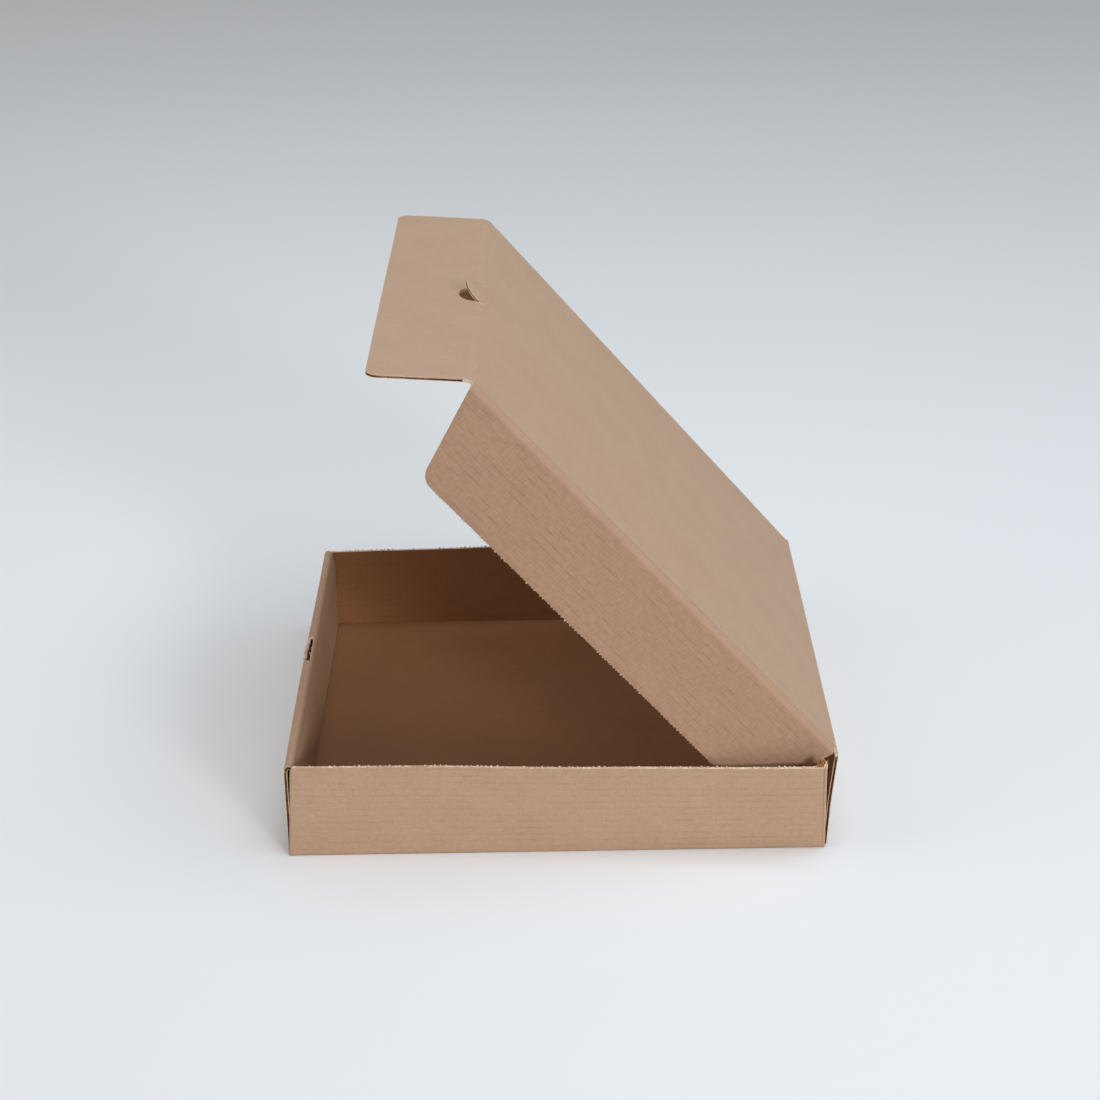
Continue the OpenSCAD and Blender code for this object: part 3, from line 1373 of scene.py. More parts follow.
    def back_path(self) -> FoldPath:
        """The back wall's way from the base up to the hinge crease.

        Returns:
            The path in the plane across the wall.
        """
        size = self.size
        middle = 0.5 * size.board
        foot = np.array([size.half_l - middle, middle])
        way = size.hinge[1:] - foot
        top = size.hinge[1:] - way / np.linalg.norm(way) * size.fold_reach
        return FoldPath([(size.half_l - self.base_inset, middle), tuple(foot), tuple(top)], [self.fold_r])

    def fold_back(self, across: Array, along: Array, height: Array) -> Array:
        """Folds the back wall: flat sheet to row frame.

        Args:
            across: distance from the box's middle.
            along: place along the flat sheet.
            height: distance from the board's middle, outside positive.
        Returns:
            Points in the row frame.
        """
        path = self.back_path()
        run = along - (self.size.half_l - self.base_inset)
        wave = self.back_ripple.at(across) * np.sin(portion(run, 0.0, path.length) * math.pi) ** 2
        y, z = path.at(run, -(np.asarray(height) + wave))
        return np.stack([np.broadcast_to(across, y.shape), y, z], axis=-1)

    def back_sheet(self, mesh: BoardMesh) -> None:
        """Adds the back wall.

        Args:
            mesh: mesh that the panel is added to.
        """
        size = self.size
        path = self.back_path()
        wall = path.stretches[2].start
        runs = joined(np.linspace(0.0, wall, 8), spread(wall, path.length, self.cell))
        share = portion(runs, 0.0, path.length)
        half_widths = (size.half_w - self.back_end) * (1 - share) + size.lid_half_w * share
        shares = spread(-1.0, 1.0, self.cell / size.half_w)
        across = half_widths[:, None] * shares[None, :]
        along = (runs + size.half_l - self.base_inset)[:, None] + 0.0 * across
        mesh.panel(self.fold_back, across, along, open_ends=end_columns(across))

    def tab_place(self, side: float, front: bool) -> Place:
        """Gives the folding of one corner tab.

        Args:
            side: 1 for the right of the box, -1 for the left.
            front: whether it is a front tab.
        Returns:
            A function from height up the wall, run round the corner and height off the board.
        """
        size = self.size
        middle = 0.5 * size.board
        wall_x = size.half_w - middle
        end = -1.0 if front else 1.0
        tab_y = size.half_l - size.board - size.ply_gap - middle
        path = FoldPath(
            [(wall_x, tab_y - self.corner_r), (wall_x, tab_y), (wall_x - self.tab_l, tab_y)], [self.corner_r]
        )
        lean = 0.0 if front else math.tan(float(self.lean(np.array(size.half_l))))

        def place(up: Array, run: Array, height: Array) -> Array:
            """Turns flat tab coordinates into the row frame.

            Args:
                up: height up the wall.
                run: distance round the corner.
                height: distance from the board's middle, outside positive.
            Returns:
                Points in the row frame.
            """
            x, y = path.at(run, -np.asarray(height))
            up = np.broadcast_to(up, x.shape)
            y = y + self.corner_slip(up, front) * (1.0 - eased(portion(run, 0.0, self.slip_run)))
            return np.stack([side * (x + lean * up), end * y, up], axis=-1)

        return place

    def tabs(self, mesh: BoardMesh) -> None:
        """Adds the four corner tabs.

        Args:
            mesh: mesh that the tabs are added to.
        """
        size = self.size
        bend_end = 0.5 * math.pi * self.corner_r
        inner = bend_end + self.tab_lift
        runs = joined(
            np.linspace(0.0, bend_end, 7), np.linspace(bend_end, inner, 4),
            spread(inner, self.shoulder[0], self.cell), np.linspace(*self.shoulder, 3),
            spread(self.shoulder[1], self.tab_l, self.cell),
        )
        bent = portion(runs, 0.0, bend_end) ** 2
        lifted = portion(runs, bend_end, inner)
        foot = self.tab_foot * (1 - lifted) + (size.board + 2 * size.ply_gap) * lifted
        taper = portion(runs, self.tab_l - self.tab_taper, self.tab_l) * self.tab_taper
        drop = portion(runs, *self.shoulder)
        back_top = (size.side_h - self.shoulder_drop) * (1 - drop) + self.back_tab_top * drop
        back_lean = math.cos(float(self.lean(np.array(size.half_l))))
        heights = np.linspace(0.0, 1.0, 11)
        for front, side in ((True, 1.0), (True, -1.0), (False, 1.0), (False, -1.0)):
            if front:
                top = self.rim(side, -size.half_l) * (1 - bent) + self.front_tab_top * bent
            else:
                top = self.rim(side, size.half_l) * back_lean * (1 - bent) + back_top * bent
            up = (foot + taper)[None, :] + heights[:, None] * (top - foot - 2 * taper)[None, :]
            run = runs[None, :] + 0.0 * up
            mesh.panel(self.tab_place(side, front), up, run)

    def teeth(self, trim: TrimMesh) -> None:
        """Adds the toothed cut along the top of both side walls.

        Args:
            trim: mesh that they are added to.
        """
        size = self.size
        length = 2 * size.half_l - self.tooth_room
        seat = 0.3 * self.tooth_h
        for side, seed in ((1.0, 11), (-1.0, 23)):
            row = KnifeTeeth(self.tooth_pitch, 1.5 * self.tooth_h, size.board, seed)
            spots, faces = row.mesh(length, self.finishes.edge)
            along = spots[:, 0] - 0.5 * length
            tops = np.array([self.wall_run(y, side)[1] for y in along])
            flat = side * (tops - seat + spots[:, 2])
            trim.add(self.fold_sides(flat, along, spots[:, 1]), faces)

    def tears(self, trim: TrimMesh) -> None:
        """Adds torn fibres in the lock slit.

        Args:
            trim: mesh that they are added to.
        """
        crown = self.slit_run(self.front_path())
        seat = 0.5 * MM
        for offset, seed in ((-1.0, 5), (1.0, 7)):
            tuft = TornFibres(length=1.8 * MM, width=0.5 * MM, spacing=1.1 * MM, seed=seed)
            spots, faces = tuft.mesh(2 * self.slit_half, self.finishes.edge)
            along = -(crown + offset * 0.5 * self.slit_w + self.size.half_l - self.base_inset)
            across = spots[:, 0] - self.slit_half
            trim.add(self.fold_front(across, along + spots[:, 1], spots[:, 2] - seat), faces)

    def crushed_ply(
        self, name: str, width: float, tall: float, lean: float, materials: list[bpy.types.Material]
    ) -> bpy.types.Object:
        """Builds one torn ply that stands up at the right wall's back corner.

        Args:
            name: name of the piece.
            width: width along the wall.
            tall: height above the wall's top edge.
            lean: how far its top curls, outwards positive.
            materials: materials in the order of Face.
        Returns:
            The ply.
        """
        past_tab = 0.3 * MM
        seat = 0.5 * MM
        wrinkle = Ripple(0.4 * MM, 3900.0)
        end = self.size.half_l - self.size.board - self.size.ply_gap + past_tab
        top = self.wall_run(end)[1]

        def place(up: Array, along: Array, height: Array) -> Array:
            """Stands the ply on the wall's top edge, curled and wrinkled.

            Args:
                up: height above the edge.
                along: place along the tray.
                height: distance from the ply's middle, outside positive.
            Returns:
                Points in the row frame.
            """
            share = np.asarray(up) / tall
            curl = lean * (0.25 + share ** 2) + wrinkle.at(along) * share
            return self.fold_sides(top - seat + up, along, height + curl)

        share = np.linspace(0.0, 1.0, 17)
        jag = Ripple(0.14, 19.0, 1.0).at(share) + Ripple(0.08, 47.0).at(share)
        profile = np.clip(np.minimum(1.5 * share, 1.0) - 0.35 * share ** 4 + jag, 0.2, 1.1)
        rows = np.linspace(0.0, 1.0, 8)
        up = rows[None, :] * (tall * profile)[:, None]
        along = np.repeat((end - width + share * width)[:, None], len(rows), axis=1)
        mesh = BoardMesh(self.ply)
        mesh.panel(place, up, along)
        made = mesh.build(name, materials)
        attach(made, "tray")
        return made

    def build(self) -> list[bpy.types.Object]:
        """Builds and dresses the tray.

        Returns:
            The board and its trim.
        """
        look = self.finishes
        mesh = BoardMesh(self.size.board)
        self.side_sheet(mesh)
        self.front_sheet(mesh)
        self.back_sheet(mesh)
        self.tabs(mesh)
        board = mesh.build("tray_board", look.board(look.outside))
        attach(board, "tray")
        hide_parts("tray")
        trim = TrimMesh(look.edge)
        self.teeth(trim)
        self.tears(trim)
        edges = trim.build("tray_cut_edges")
        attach(edges, "tray")
        torn = [look.torn, look.torn, look.edge, look.fluting_and_painted_shade]
        pale = [look.edge] * len(Face)
        inner = self.crushed_ply(
            "tray_crushed_inner", width=6.2 * MM, tall=4.4 * MM, lean=-1.2 * MM, materials=torn
        )
        outer = self.crushed_ply(
            "tray_crushed_outer", width=2.2 * MM, tall=4.0 * MM, lean=0.6 * MM, materials=pale
        )
        return [board, edges, inner, outer]


# Lid


@dataclass
class LidShape:
    """The lid's frame and the slight twist that the whole lid stands in."""

    size: BoxMeasures
    twist: float = math.radians(0.5)
    skew: float = 0.2 * MM
    bow: float = 0.7 * MM

    def flat(self, across: Array, along: Array, rise: Array) -> Array:
        """Turns lid coordinates into the row frame, as if the lid were flat.

        Args:
            across: distance from the lid's middle line.
            along: distance from the hinge line.
            rise: distance from the lid's plane, outside positive.
        Returns:
            Points in the row frame.
        """
        size = self.size
        spots = size.hinge + along[..., None] * size.lid_way + rise[..., None] * size.lid_out
        return spots + across[..., None] * np.array([1.0, 0.0, 0.0])

    def place(self, across: Array, along: Array, rise: Array) -> Array:
        """Turns lid coordinates into the row frame.

        Args:
            across: distance from the lid's middle line.
            along: distance from the hinge line.
            rise: distance from the lid's plane, outside positive.
        Returns:
            Points in the row frame.
        """
        size = self.size
        across, along, rise = np.broadcast_arrays(across, along, rise)
        lift = rise - math.sin(self.twist) * along * across / size.lid_half_w
        share = portion(along, 0.0, size.lid_l)
        width = portion(np.abs(across), 0.0, size.lid_half_w)
        lift = lift + self.bow * np.sin(share * math.pi) * (1 - width ** 2)
        along = along - self.skew * share * (0.5 + 0.5 * across / size.lid_half_w)
        return self.flat(across, along, lift)

    def blend_spot(self, across: float, along: float, rise: float) -> tuple[float, ...]:
        """One end of a crease's blend, on the flat lid's own coordinates."""
        return tuple(float(v) for v in self.flat(*np.array([across, along, rise])[:, None])[0])


@dataclass(frozen=True)
class HalfMoon:
    """Outline of the lock tongue and of the notch that it was cut from, on the lid's front fold.

    It is shut to a share of its length on the left and opens towards the right.
    """

    half: float
    length: float
    shut: float
    open_run: tuple[float, float] = (-0.65, 0.2)
    power: float = 2.5

    def reach(self, across: Array) -> Array:
        """How far the outline stands out past the fold.

        Args:
            across: distance from the middle, positive to the right.
        Returns:
            The distance from the fold.
        """
        share = portion(np.abs(across), 0.0, self.half)
        opened = eased(portion(np.asarray(across) / self.half, *self.open_run))
        part = self.shut + (1.0 - self.shut) * opened
        return part * self.length * (1.0 - share ** self.power) ** (1.0 / self.power)

    def columns(self, count: int) -> Array:
        """Distances from the middle, closer together where the outline turns."""
        return self.half * np.sin(np.linspace(0.0, 0.5 * math.pi, count))


@dataclass
class Lid:
    """Lid panel with its lock tongue, and the crease that carries it."""

    size: BoxMeasures
    finishes: Finishes
    shape: LidShape
    tongue: HalfMoon = HalfMoon(12.2 * MM, 8.8 * MM, 0.5)
    tongue_steps: int = 15
    edge_left: float = 0.6
    fluting: FluteWave = FluteWave(0.1 * MM, 0.1 * MM)
    cell: float = 4.0 * MM

    def panel(self) -> bpy.types.Object:
        """Builds the lid panel and tongue.

        Returns:
            The new piece, dressed.
        """
        size = self.size
        reach = size.fold_reach
        half = size.lid_half_w - reach
        end = size.lid_l - reach
        right = self.tongue.columns(self.tongue_steps)
        middle = np.concatenate([-right[::-1], right[1:]])
        columns = joined(spread(-half, middle[0], self.cell), middle, spread(middle[-1], half, self.cell))
        tips = size.lid_l + self.tongue.reach(columns)
        rows = spread(reach, end, self.cell)
        shares = np.linspace(0.0, 1.0, 6)[1:]
        along = np.concatenate([
            np.repeat(rows[:, None], len(columns), axis=1),
            end + shares[:, None] * (tips - end)[None, :],
        ])
        across = np.repeat(columns[None, :], along.shape[0], axis=0)
        middles = 0.5 * (columns[:-1] + columns[1:])
        keep = np.ones((along.shape[0] - 1, along.shape[1] - 1), bool)
        keep[len(rows) - 1:, :] = np.abs(middles)[None, :] < self.tongue.half
        last = along.shape[0] - 1
        mesh = BoardMesh(size.board)
        mesh.panel(
            self.shape.place, across, along, keep, pinch(tips[None, :] - along, self.edge_left),
            lambda i, j, k, m: i == last and k == last,
        )
        made = mesh.build("lid_board", self.finishes.board(self.finishes.lid_painted_sheen))
        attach(made, "lid")
        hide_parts("lid")
        return made

    def hinge_crease(self) -> bpy.types.Object:
        """Builds the crease between the back wall and the lid.

        Returns:
            The new piece, dressed.
        """
        size = self.size
        reach = size.fold_reach
        foot = np.array([size.half_l - 0.5 * size.board, 0.5 * size.board])
        hinge = size.hinge[1:]
        wall = (hinge - foot) / np.linalg.norm(hinge - foot)
        start = hinge - wall * reach
        end = hinge + size.lid_way[1:] * reach
        path = crease_path(start, hinge, end, reach, math.acos(float(wall @ size.lid_way[1:])))

        def place(across: Array, along: Array, height: Array) -> Array:
            """Folds the crease into the row frame."""
            y, z = path.at(along, -np.asarray(height))
            return np.stack([np.broadcast_to(across, y.shape), y, z], axis=-1)

        runs = np.linspace(0.0, path.length, 11)
        columns = spread(-size.lid_half_w, size.lid_half_w, self.cell)
        across, along = np.meshgrid(columns, runs)
        mesh = BoardMesh(size.board)
        mesh.panel(place, across, along)
        made = mesh.build("hinge_crease", self.finishes.board(self.finishes.lid_painted_sheen))
        inset = BLEND_INSET * (end - start)
        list(start + inset)
        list(end - inset)
        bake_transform(made)
        return made

    def trim(self) -> bpy.types.Object:
        """Builds the fluting in the tongue's open end.

        Returns:
            The new piece, dressed.
        """
        fluting_and_painted_shade = self.finishes.fluting_and_painted_shade
        spots, faces = self.fluting.mesh(1.5 * self.tongue.half, fluting_and_painted_shade)
        along = self.size.lid_l + self.tongue.reach(spots[:, 0]) - self.fluting.seat + spots[:, 1]
        trim = TrimMesh(fluting_and_painted_shade)
        trim.add(self.shape.place(spots[:, 0], along, spots[:, 2]), faces)
        made = trim.build("tongue_flutes")
        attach(made, "lid")
        return made

    def build(self) -> list[bpy.types.Object]:
        """Builds the lid's pieces."""
        return [self.panel(), self.hinge_crease(), self.trim()]


@dataclass
class FrontFlap:
    """Front flap of the lid, notched around the tongue, with its two creases."""

    size: BoxMeasures
    finishes: Finishes
    shape: LidShape
    depth: float = 43.0 * MM
    angle: float = math.radians(44.5)
    inset: float = 2.3 * MM
    end_room: float = 1.2 * MM
    corner_r: float = 5.0 * MM
    notch: HalfMoon = HalfMoon(12.9 * MM, 9.4 * MM, 0.56)
    notch_steps: int = 15
    notch_rim: float = 0.6 * MM
    fade_run: float = 12.0 * MM
    fade_depth: float = 5.0 * MM
    edge_left: float = 0.88
    ripple: Ripple = Ripple(0.5 * MM, 22.0, 0.7)
    fluting: FluteWave = FluteWave(0.24 * MM, 0.14 * MM)
    cell: float = 3.5 * MM

    def place(self, across: Array, along: Array, height: Array) -> Array:
        """Turns flap coordinates into the row frame.

        Args:
            across: distance from the lid's middle line.
            along: distance from the fold.
            height: distance from the board's middle, outside positive.
        Returns:
            Points in the row frame.
        """
        lift = np.asarray(height) + portion(along, 0.0, self.depth) ** 2 * self.ripple.at(across)
        run = along * math.cos(self.angle) + lift * math.sin(self.angle)
        rise = -along * math.sin(self.angle) + lift * math.cos(self.angle)
        return self.shape.place(across, self.size.lid_l + run, rise)

    def half(self) -> float:
        """Half the flap's width."""
        return self.size.lid_half_w - self.inset

    def room(self, across: Array) -> Array:
        """How much wider the fold's strip is than at the middle, so that the ends can turn."""
        return self.end_room * portion(np.abs(across), 0.0, self.half()) ** 2

    def panel(self) -> bpy.types.Object:
        """Builds the flap.

        The first rows run from the fold past the notch, and the others on to the free edge.

        Returns:
            The new piece, dressed.
        """
        half = self.half()
        ring = np.sin(np.linspace(0.0, 0.5 * math.pi, 7))
        end_run = half - self.corner_r + self.corner_r * ring
        beside = spread(self.notch.half, end_run[0], self.cell)
        right = joined(self.notch.columns(self.notch_steps), beside, end_run)
        columns = np.concatenate([-right[::-1], right[1:]])
        over = np.clip(np.abs(columns) - (half - self.corner_r), 0.0, self.corner_r)
        tips = self.depth - self.corner_r + np.sqrt(np.maximum(self.corner_r ** 2 - over ** 2, 0.0))
        away = portion(np.abs(columns), self.notch.half, self.notch.half + self.fade_run)
        start = self.size.fold_reach + self.room(columns)
        curve = np.maximum(self.notch.reach(columns), start + self.notch_rim) + away * self.fade_depth
        first = np.linspace(0.0, 1.0, 5)
        second = np.append(np.linspace(0.0, 0.95, 11)[1:], 1.0)
        along = np.concatenate([
            start[None, :] + first[:, None] * (curve - start)[None, :],
            curve[None, :] + second[:, None] * (tips - curve)[None, :],
        ])
        across = np.repeat(columns[None, :], along.shape[0], axis=0)
        middles = 0.5 * (columns[:-1] + columns[1:])
        keep = np.ones((along.shape[0] - 1, along.shape[1] - 1), bool)
        keep[: len(first) - 1, :] = np.abs(middles)[None, :] > self.notch.half
        last = along.shape[0] - 1
        at_end = end_columns(across)

        def shows_flutes(i: int, j: int, k: int, m: int) -> bool:
            """Whether a border edge is on the free edge or on one of the ends."""
            return (i == last and k == last) or at_end(i, j, k, m)

        by_end = pinch(half - np.abs(across), self.edge_left)
        squeezed = np.minimum(by_end, pinch(tips[None, :] - along, self.edge_left))
        mesh = BoardMesh(self.size.board)
        mesh.panel(self.place, across, along, keep, squeezed, shows_flutes)
        made = mesh.build("front_flap_board", self.finishes.board(self.finishes.lid_painted_sheen))
        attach(made, "front_flap")
        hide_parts("front_flap")
        return made

    def crease(self, side: float, name: str) -> bpy.types.Object:
        """Builds the crease on one side of the tongue.

        Args:
            side: 1 for the right, -1 for the left.
            name: name of the piece.
        Returns:
            The crease.
        """
        size = self.size
        reach = size.fold_reach
        way = np.array([math.cos(self.angle), -math.sin(self.angle)])
        start = np.array([-reach, 0.0])
        end = way * reach
        path = crease_path(start, (0.0, 0.0), way * (reach + self.end_room), reach, self.angle)

        def place(across: Array, along: Array, height: Array) -> Array:
            """Folds the crease into the row frame."""
            run, rise = path.at(along, height)
            return self.shape.place(across, size.lid_l + run, rise)

        steps = np.linspace(0.0, 1.0, 12)
        shares = spread(0.0, 1.0, self.cell / size.lid_half_w)
        ends = np.linspace(size.lid_half_w - reach, self.half(), len(steps))
        across = side * (self.notch.half + shares[None, :] * (ends - self.notch.half)[:, None])
        along = steps[:, None] * (path.length - self.end_room + self.room(across))
        mesh = BoardMesh(size.board)
        mesh.panel(place, across, along)
        made = mesh.build(name, self.finishes.board(self.finishes.lid_painted_sheen))

        def spot(point: Array) -> tuple[float, ...]:
            """A blend point on the fold's middle."""
            return self.shape.blend_spot(0.0, size.lid_l + point[0], point[1])

        inset = BLEND_INSET * (end - start)
        spot(start + inset)
        spot(end - inset)
        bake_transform(made)
        return made

    def flutes(self) -> bpy.types.Object:
        """Builds the fluting in the flap's open front edge.

        Returns:
            The new piece, dressed.
        """
        fluting_and_painted_shade = self.finishes.fluting_and_painted_shade
        spots, faces = self.fluting.mesh(2 * (self.half() - self.corner_r), fluting_and_painted_shade)
        along = self.depth - self.fluting.seat + spots[:, 1]
        trim = TrimMesh(fluting_and_painted_shade)
        trim.add(self.place(spots[:, 0], along, spots[:, 2]), faces)
        made = trim.build("front_flap_flutes")
        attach(made, "front_flap")
        return made

    def build(self) -> list[bpy.types.Object]:
        """Builds the flap's pieces."""
        creases = [self.crease(1.0, "front_crease_right"), self.crease(-1.0, "front_crease_left")]
        return [self.panel(), self.flutes()] + creases


@dataclass
class SideFlap:
    """Tapered flap on one side of the lid, with its crease, toothed edge and open ends."""

    size: BoxMeasures
    finishes: Finishes
    shape: LidShape
    side: float
    body: str
    seed: int
    depth: float = 42.3 * MM
    splay: float = math.radians(6.5)
    front: float = 0.8 * MM
    front_taper: float = math.radians(19.5)
    rear: float = 1.2 * MM
    rear_taper: float = math.radians(22.0)
    hinge_rear: float = 0.4 * MM
    hinge_taper: float = math.radians(15.0)
    hinge_reach: tuple[float, float] = (12.0 * MM, 16.0 * MM)
    corner_r: float = 7.0 * MM
    tooth_pitch: float = 1.7 * MM
    tooth_h: float = 0.85 * MM
    tooth_w: float = 1.1 * MM
    tooth_seat: float = 0.35 * MM
    fluting: FluteWave = FluteWave(0.11 * MM, 0.1 * MM)
    flute_room: float = 3.0 * MM
    cell: float = 3.5 * MM

    def angle(self) -> float:
        """Angle that the flap is folded down from the lid's plane."""
        return 0.5 * math.pi - self.splay

    def bow(self, depth: Array, along: Array) -> Array:
        """Slow waves of the flap, nothing at its fold."""
        wave = Ripple(0.35 * MM, 26.0, self.seed).at(along) + Ripple(0.2 * MM, 61.0).at(along)
        return portion(depth, 0.0, self.depth) ** 2 * wave

    def place(self, depth: Array, along: Array, height: Array) -> Array:
        """Turns flap coordinates into the row frame.

        Args:
            depth: distance from the fold.
            along: distance from the hinge line.
            height: distance from the board's middle, outside positive.
        Returns:
            Points in the row frame.
        """
        lift = np.asarray(height) + self.bow(depth, along)
        angle = self.angle()
        across = self.size.lid_half_w + depth * math.cos(angle) + lift * math.sin(angle)
        rise = -depth * math.sin(angle) + lift * math.cos(angle)
        return self.shape.place(self.side * across, along, rise)

    def ends(self, depth: Array) -> tuple[Array, Array]:
        """Where the flap starts and stops along the fold at a depth, with its round corners.

        Args:
            depth: distance from the fold.
        Returns:
            Distances of both ends from the hinge line.
        """
        stops = []
        for taper, inset in ((self.rear_taper, self.rear), (self.front_taper, self.front)):
            slope = math.tan(taper)
            centre = inset + slope * (self.depth - self.corner_r) + self.corner_r / math.cos(taper)
            touch = self.depth - self.corner_r * (1 - math.sin(taper))
            rise = np.clip(depth - (self.depth - self.corner_r), -self.corner_r, self.corner_r)
            arc = centre - np.sqrt(np.maximum(self.corner_r ** 2 - rise ** 2, 0.0))
            stops.append(np.where(depth < touch, inset + slope * depth, arc))
        share = eased(portion(depth, *self.hinge_reach))
        by_hinge = self.hinge_rear + math.tan(self.hinge_taper) * depth
        return by_hinge * (1 - share) + stops[0] * share, self.size.lid_l - stops[1]

    def panel(self) -> bpy.types.Object:
        """Builds the flap.

        Returns:
            The new piece, dressed.
        """
        size = self.size
        round_start = self.depth - self.corner_r * (1 - math.sin(self.front_taper))
        bend = np.linspace(0.0, 0.5 * math.pi, 12)
        rows = joined(
            spread(size.fold_reach, round_start, self.cell),
            round_start + (self.depth - round_start) * np.sin(bend),
        )
        low, high = self.ends(rows)
        rim = CUT_REACH / size.lid_l
        between = spread(rim, 1.0 - rim, self.cell / size.lid_l)
        shares = joined(np.array([0.0, rim]), between, np.array([1.0 - rim, 1.0]))
        along = low[:, None] + shares[None, :] * (high - low)[:, None]
        depth = np.repeat(rows[:, None], len(shares), axis=1)
        arc_row = int(np.searchsorted(rows, self.depth - 1.5 * MM))
        at_end = end_columns(depth)

        def shows_flutes(i: int, j: int, k: int, m: int) -> bool:
            """Whether a border edge is on one of the cut ends."""
            return at_end(i, j, k, m) and max(i, k) < arc_row

        by_end = np.minimum(pinch(along - low[:, None]), pinch(high[:, None] - along))
        squeezed = np.minimum(by_end, pinch(self.depth - depth))
        mesh = BoardMesh(size.board)
        mesh.panel(self.place, depth, along, None, squeezed, shows_flutes)
        made = mesh.build(f"{self.body}_board", self.finishes.board(self.finishes.painted_shade_flap))
        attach(made, self.body)
        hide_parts(self.body)
        return made

    def crease(self) -> bpy.types.Object:
        """Builds the crease between the lid and the flap.

        Returns:
            The new piece, dressed.
        """
        size = self.size
        reach = size.fold_reach
        angle = self.angle()
        start = np.array([-reach, 0.0])
        end = np.array([math.cos(angle), -math.sin(angle)]) * reach
        path = crease_path(start, (0.0, 0.0), end, reach, angle)

        def place(depth: Array, along: Array, height: Array) -> Array:
            """Folds the crease into the row frame."""
            run, rise = path.at(depth, height)
            return self.shape.place(self.side * (size.lid_half_w + run), along, rise)

        runs = np.linspace(0.0, path.length, 13)
        first, last = (float(v) for v in self.ends(np.array(reach)))
        low = np.linspace(reach, first, len(runs))
        high = np.linspace(size.lid_l - self.front, last, len(runs))
        shares = spread(0.0, 1.0, self.cell / size.lid_l)
        along = low[:, None] + shares[None, :] * (high - low)[:, None]
        depth = np.repeat(runs[:, None], len(shares), axis=1)
        mesh = BoardMesh(size.board)
        mesh.panel(place, depth, along)
        made = mesh.build(f"{self.body}_crease", self.finishes.board(self.finishes.painted_shade_fold))

        def spot(point: Array) -> tuple[float, ...]:
            """A blend point on the fold's middle."""
            return self.shape.blend_spot(self.side * (size.lid_half_w + point[0]), 0.5 * size.lid_l, point[1])

        inset = BLEND_INSET * (end - start)
        spot(start + inset)
        spot(end - inset)
        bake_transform(made)
        return made

    def trim(self) -> list[bpy.types.Object]:
        """Builds the toothed free edge and the fluting in the open ends.

        Returns:
            The two new pieces, dressed.
        """
        look = self.finishes
        low, high = (float(v) for v in self.ends(np.array(self.depth)))
        row = KnifeTeeth(self.tooth_pitch, self.tooth_h, self.tooth_w, self.seed)
        spots, faces = row.mesh(high - low, look.edge)
        teeth = TrimMesh(look.edge)
        depth = self.depth - self.tooth_seat + spots[:, 2]
        teeth.add(self.place(depth, low + spots[:, 0], spots[:, 1]), faces)
        edge = teeth.build(f"{self.body}_teeth")
        reach = self.size.fold_reach
        length = self.depth - reach - self.flute_room
        flutes = TrimMesh(look.fluting_and_painted_shade)
        for rear in (True, False):
            spots, faces = self.fluting.mesh(length, look.fluting_and_painted_shade)
            depth = reach + 0.5 * length + spots[:, 0]
            stops = self.ends(depth)
            inward = self.fluting.seat + spots[:, 1]
            along = stops[0] + inward if rear else stops[1] - inward
            flutes.add(self.place(depth, along, spots[:, 2]), faces)
        ends = flutes.build(f"{self.body}_flutes")
        for made in (edge, ends):
            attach(made, self.body)
        return [edge, ends]

    def build(self) -> list[bpy.types.Object]:
        """Builds the flap's pieces."""
        return [self.panel(), self.crease()] + self.trim()


# Stage


COOL_LIGHT = (0.80, 0.90, 1.0)
PLAIN_LIGHT = (1.0, 0.98, 0.95)


@dataclass(frozen=True)
class Softbox:
    """One square soft lamp: where it hangs, the point that it faces, its side, power, tint and beam."""

    name: str
    at: tuple[float, float, float]
    aim: tuple[float, float, float]
    width: float
    watts: float
    tint: tuple[float, float, float]
    beam: float = math.pi

    def build(self) -> None:
        """Makes the lamp, which the camera doesn't see."""
        data = bpy.data.lights.new(self.name, "AREA")
        data.shape = "SQUARE"
        data.size = self.width
        data.energy = self.watts
        data.color = self.tint
        data.spread = self.beam
        made = linked(self.name, data)
        made.location = self.at
        made.rotation_euler = (Vector(self.aim) - Vector(self.at)).to_track_quat("-Z", "Y").to_euler()
        made.visible_camera = False


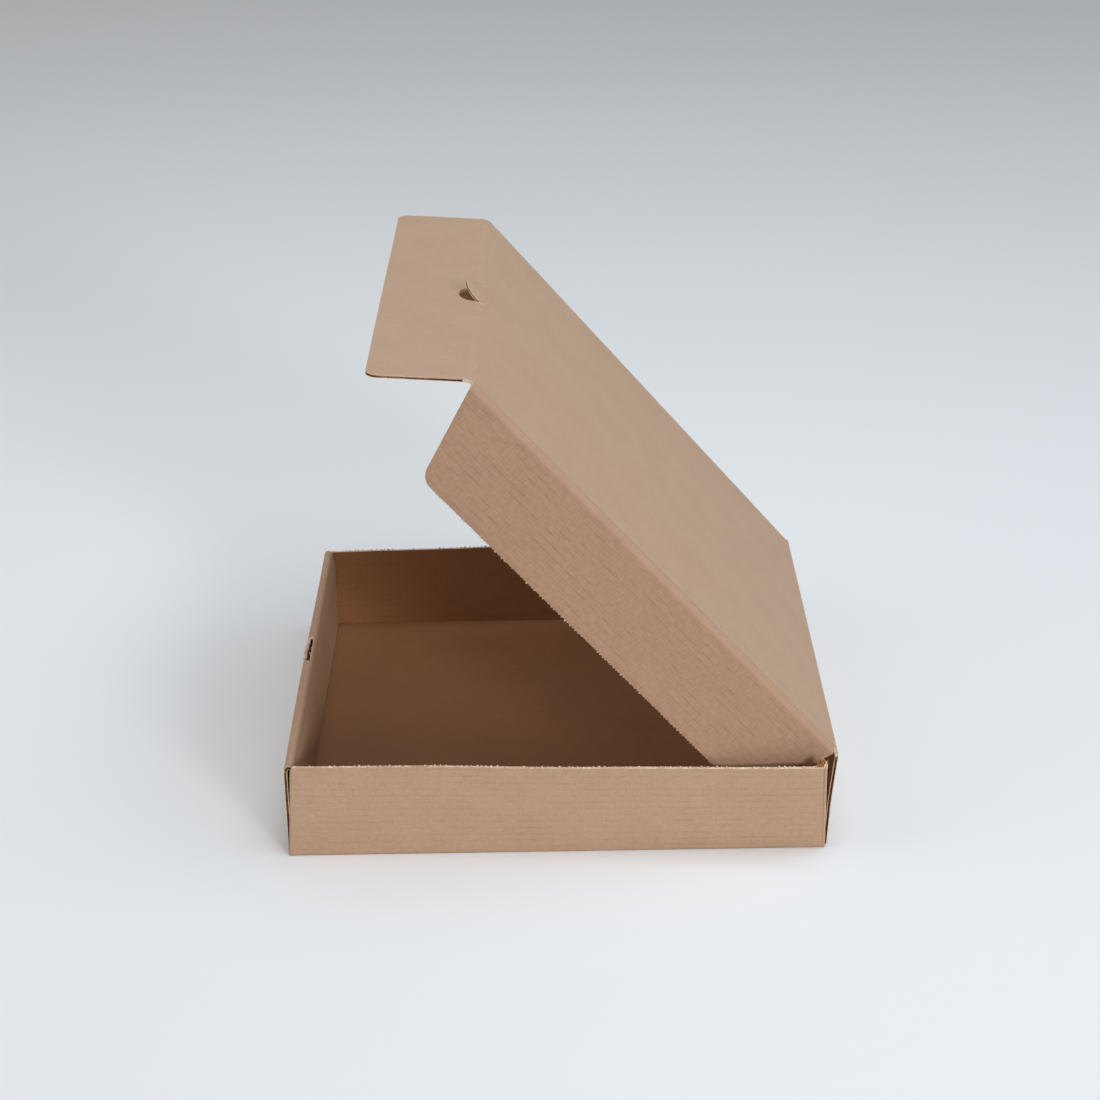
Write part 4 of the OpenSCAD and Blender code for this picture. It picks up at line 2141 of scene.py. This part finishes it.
@dataclass
class Studio:
    """Pale floor, soft light and a camera at the photograph's view."""

    frame_px: float = 1100.0
    focal_px: float = 2487.6
    camera_at: tuple[float, float, float] = (1.06372, -0.00127, 0.55992)
    pitch: float = math.radians(23.71)
    roll: float = math.radians(0.92)
    sensor: float = 36.0
    sight: float = 50.0
    floor_reach: float = 6.0
    surround: float = 0.30
    lamps: tuple[Softbox, ...] = (
        Softbox("overhead", (0.2, 0.48, 1.8), (0.0, 0.0, 0.05), 1.5, 22.4, COOL_LIGHT),
        Softbox(
            "low_front", (2.64, 1.41, 0.85), (0.0, 0.0, 0.08), 0.6, 1.03, PLAIN_LIGHT, math.radians(28.0)
        ),
        Softbox("left", (0.25, -1.35, 1.2), (0.0, 0.0, 0.1), 1.0, 5.0, PLAIN_LIGHT),
    )

    def camera(self) -> None:
        """Makes the camera and sets it as the scene's."""
        data = bpy.data.cameras.new("view")
        data.sensor_fit = "HORIZONTAL"
        data.sensor_width = self.sensor
        data.lens = self.focal_px / self.frame_px * self.sensor
        data.clip_end = self.sight
        ahead = np.array([-math.cos(self.pitch), 0.0, -math.sin(self.pitch)])
        right = np.cross(ahead, [0.0, 0.0, 1.0])
        right = right / np.linalg.norm(right)
        down = np.cross(ahead, right)
        level_right = right * math.cos(self.roll) + down * math.sin(self.roll)
        level_down = down * math.cos(self.roll) - right * math.sin(self.roll)
        turn = np.stack([level_right, -level_down, -ahead], axis=1)
        made = linked("view", data)
        made.matrix_world = Matrix.Translation(self.camera_at) @ Matrix(turn.tolist()).to_4x4()
        bpy.context.scene.camera = made

    def floor(self) -> None:
        """Makes the pale floor."""
        reach = self.floor_reach
        corners = [(-reach, -reach, 0), (reach, -reach, 0), (reach, reach, 0), (-reach, reach, 0)]
        mesh = bpy.data.meshes.new("floor")
        mesh.from_pydata(corners, [], [(0, 1, 2, 3)])
        mesh.materials.append(TableTop().build())
        made = linked("floor", mesh)

    def world(self) -> None:
        """Makes an even pale surround."""
        world = bpy.data.worlds.new("surround")
        world.use_nodes = True
        shade = world.node_tree.nodes["Background"]
        shade.inputs["Color"].default_value = (1.0, 1.0, 1.0, 1.0)
        shade.inputs["Strength"].default_value = self.surround
        bpy.context.scene.world = world

    def build(self) -> None:
        """Builds the stage."""
        bpy.context.scene.view_settings.view_transform = "Standard"
        self.camera()
        self.floor()
        self.world()
        for lamp in self.lamps:
            lamp.build()


def main() -> None:
    """Builds the box and its stage in order."""
    logging.basicConfig(level=logging.INFO)
    size = BoxMeasures()
    finishes = Finishes()
    shape = LidShape(size)
    parts = [
        Tray(size, finishes),
        Lid(size, finishes, shape),
        FrontFlap(size, finishes, shape),
        SideFlap(size, finishes, shape, side=1.0, body="right_flap", seed=3),
        SideFlap(size, finishes, shape, side=-1.0, body="left_flap", seed=8),
    ]
    for part in parts:
        for piece in part.build():
            LOG.info("%s: %d faces", piece.name, len(piece.data.polygons))
    Studio().build()


if __name__ == "__main__":
    main()
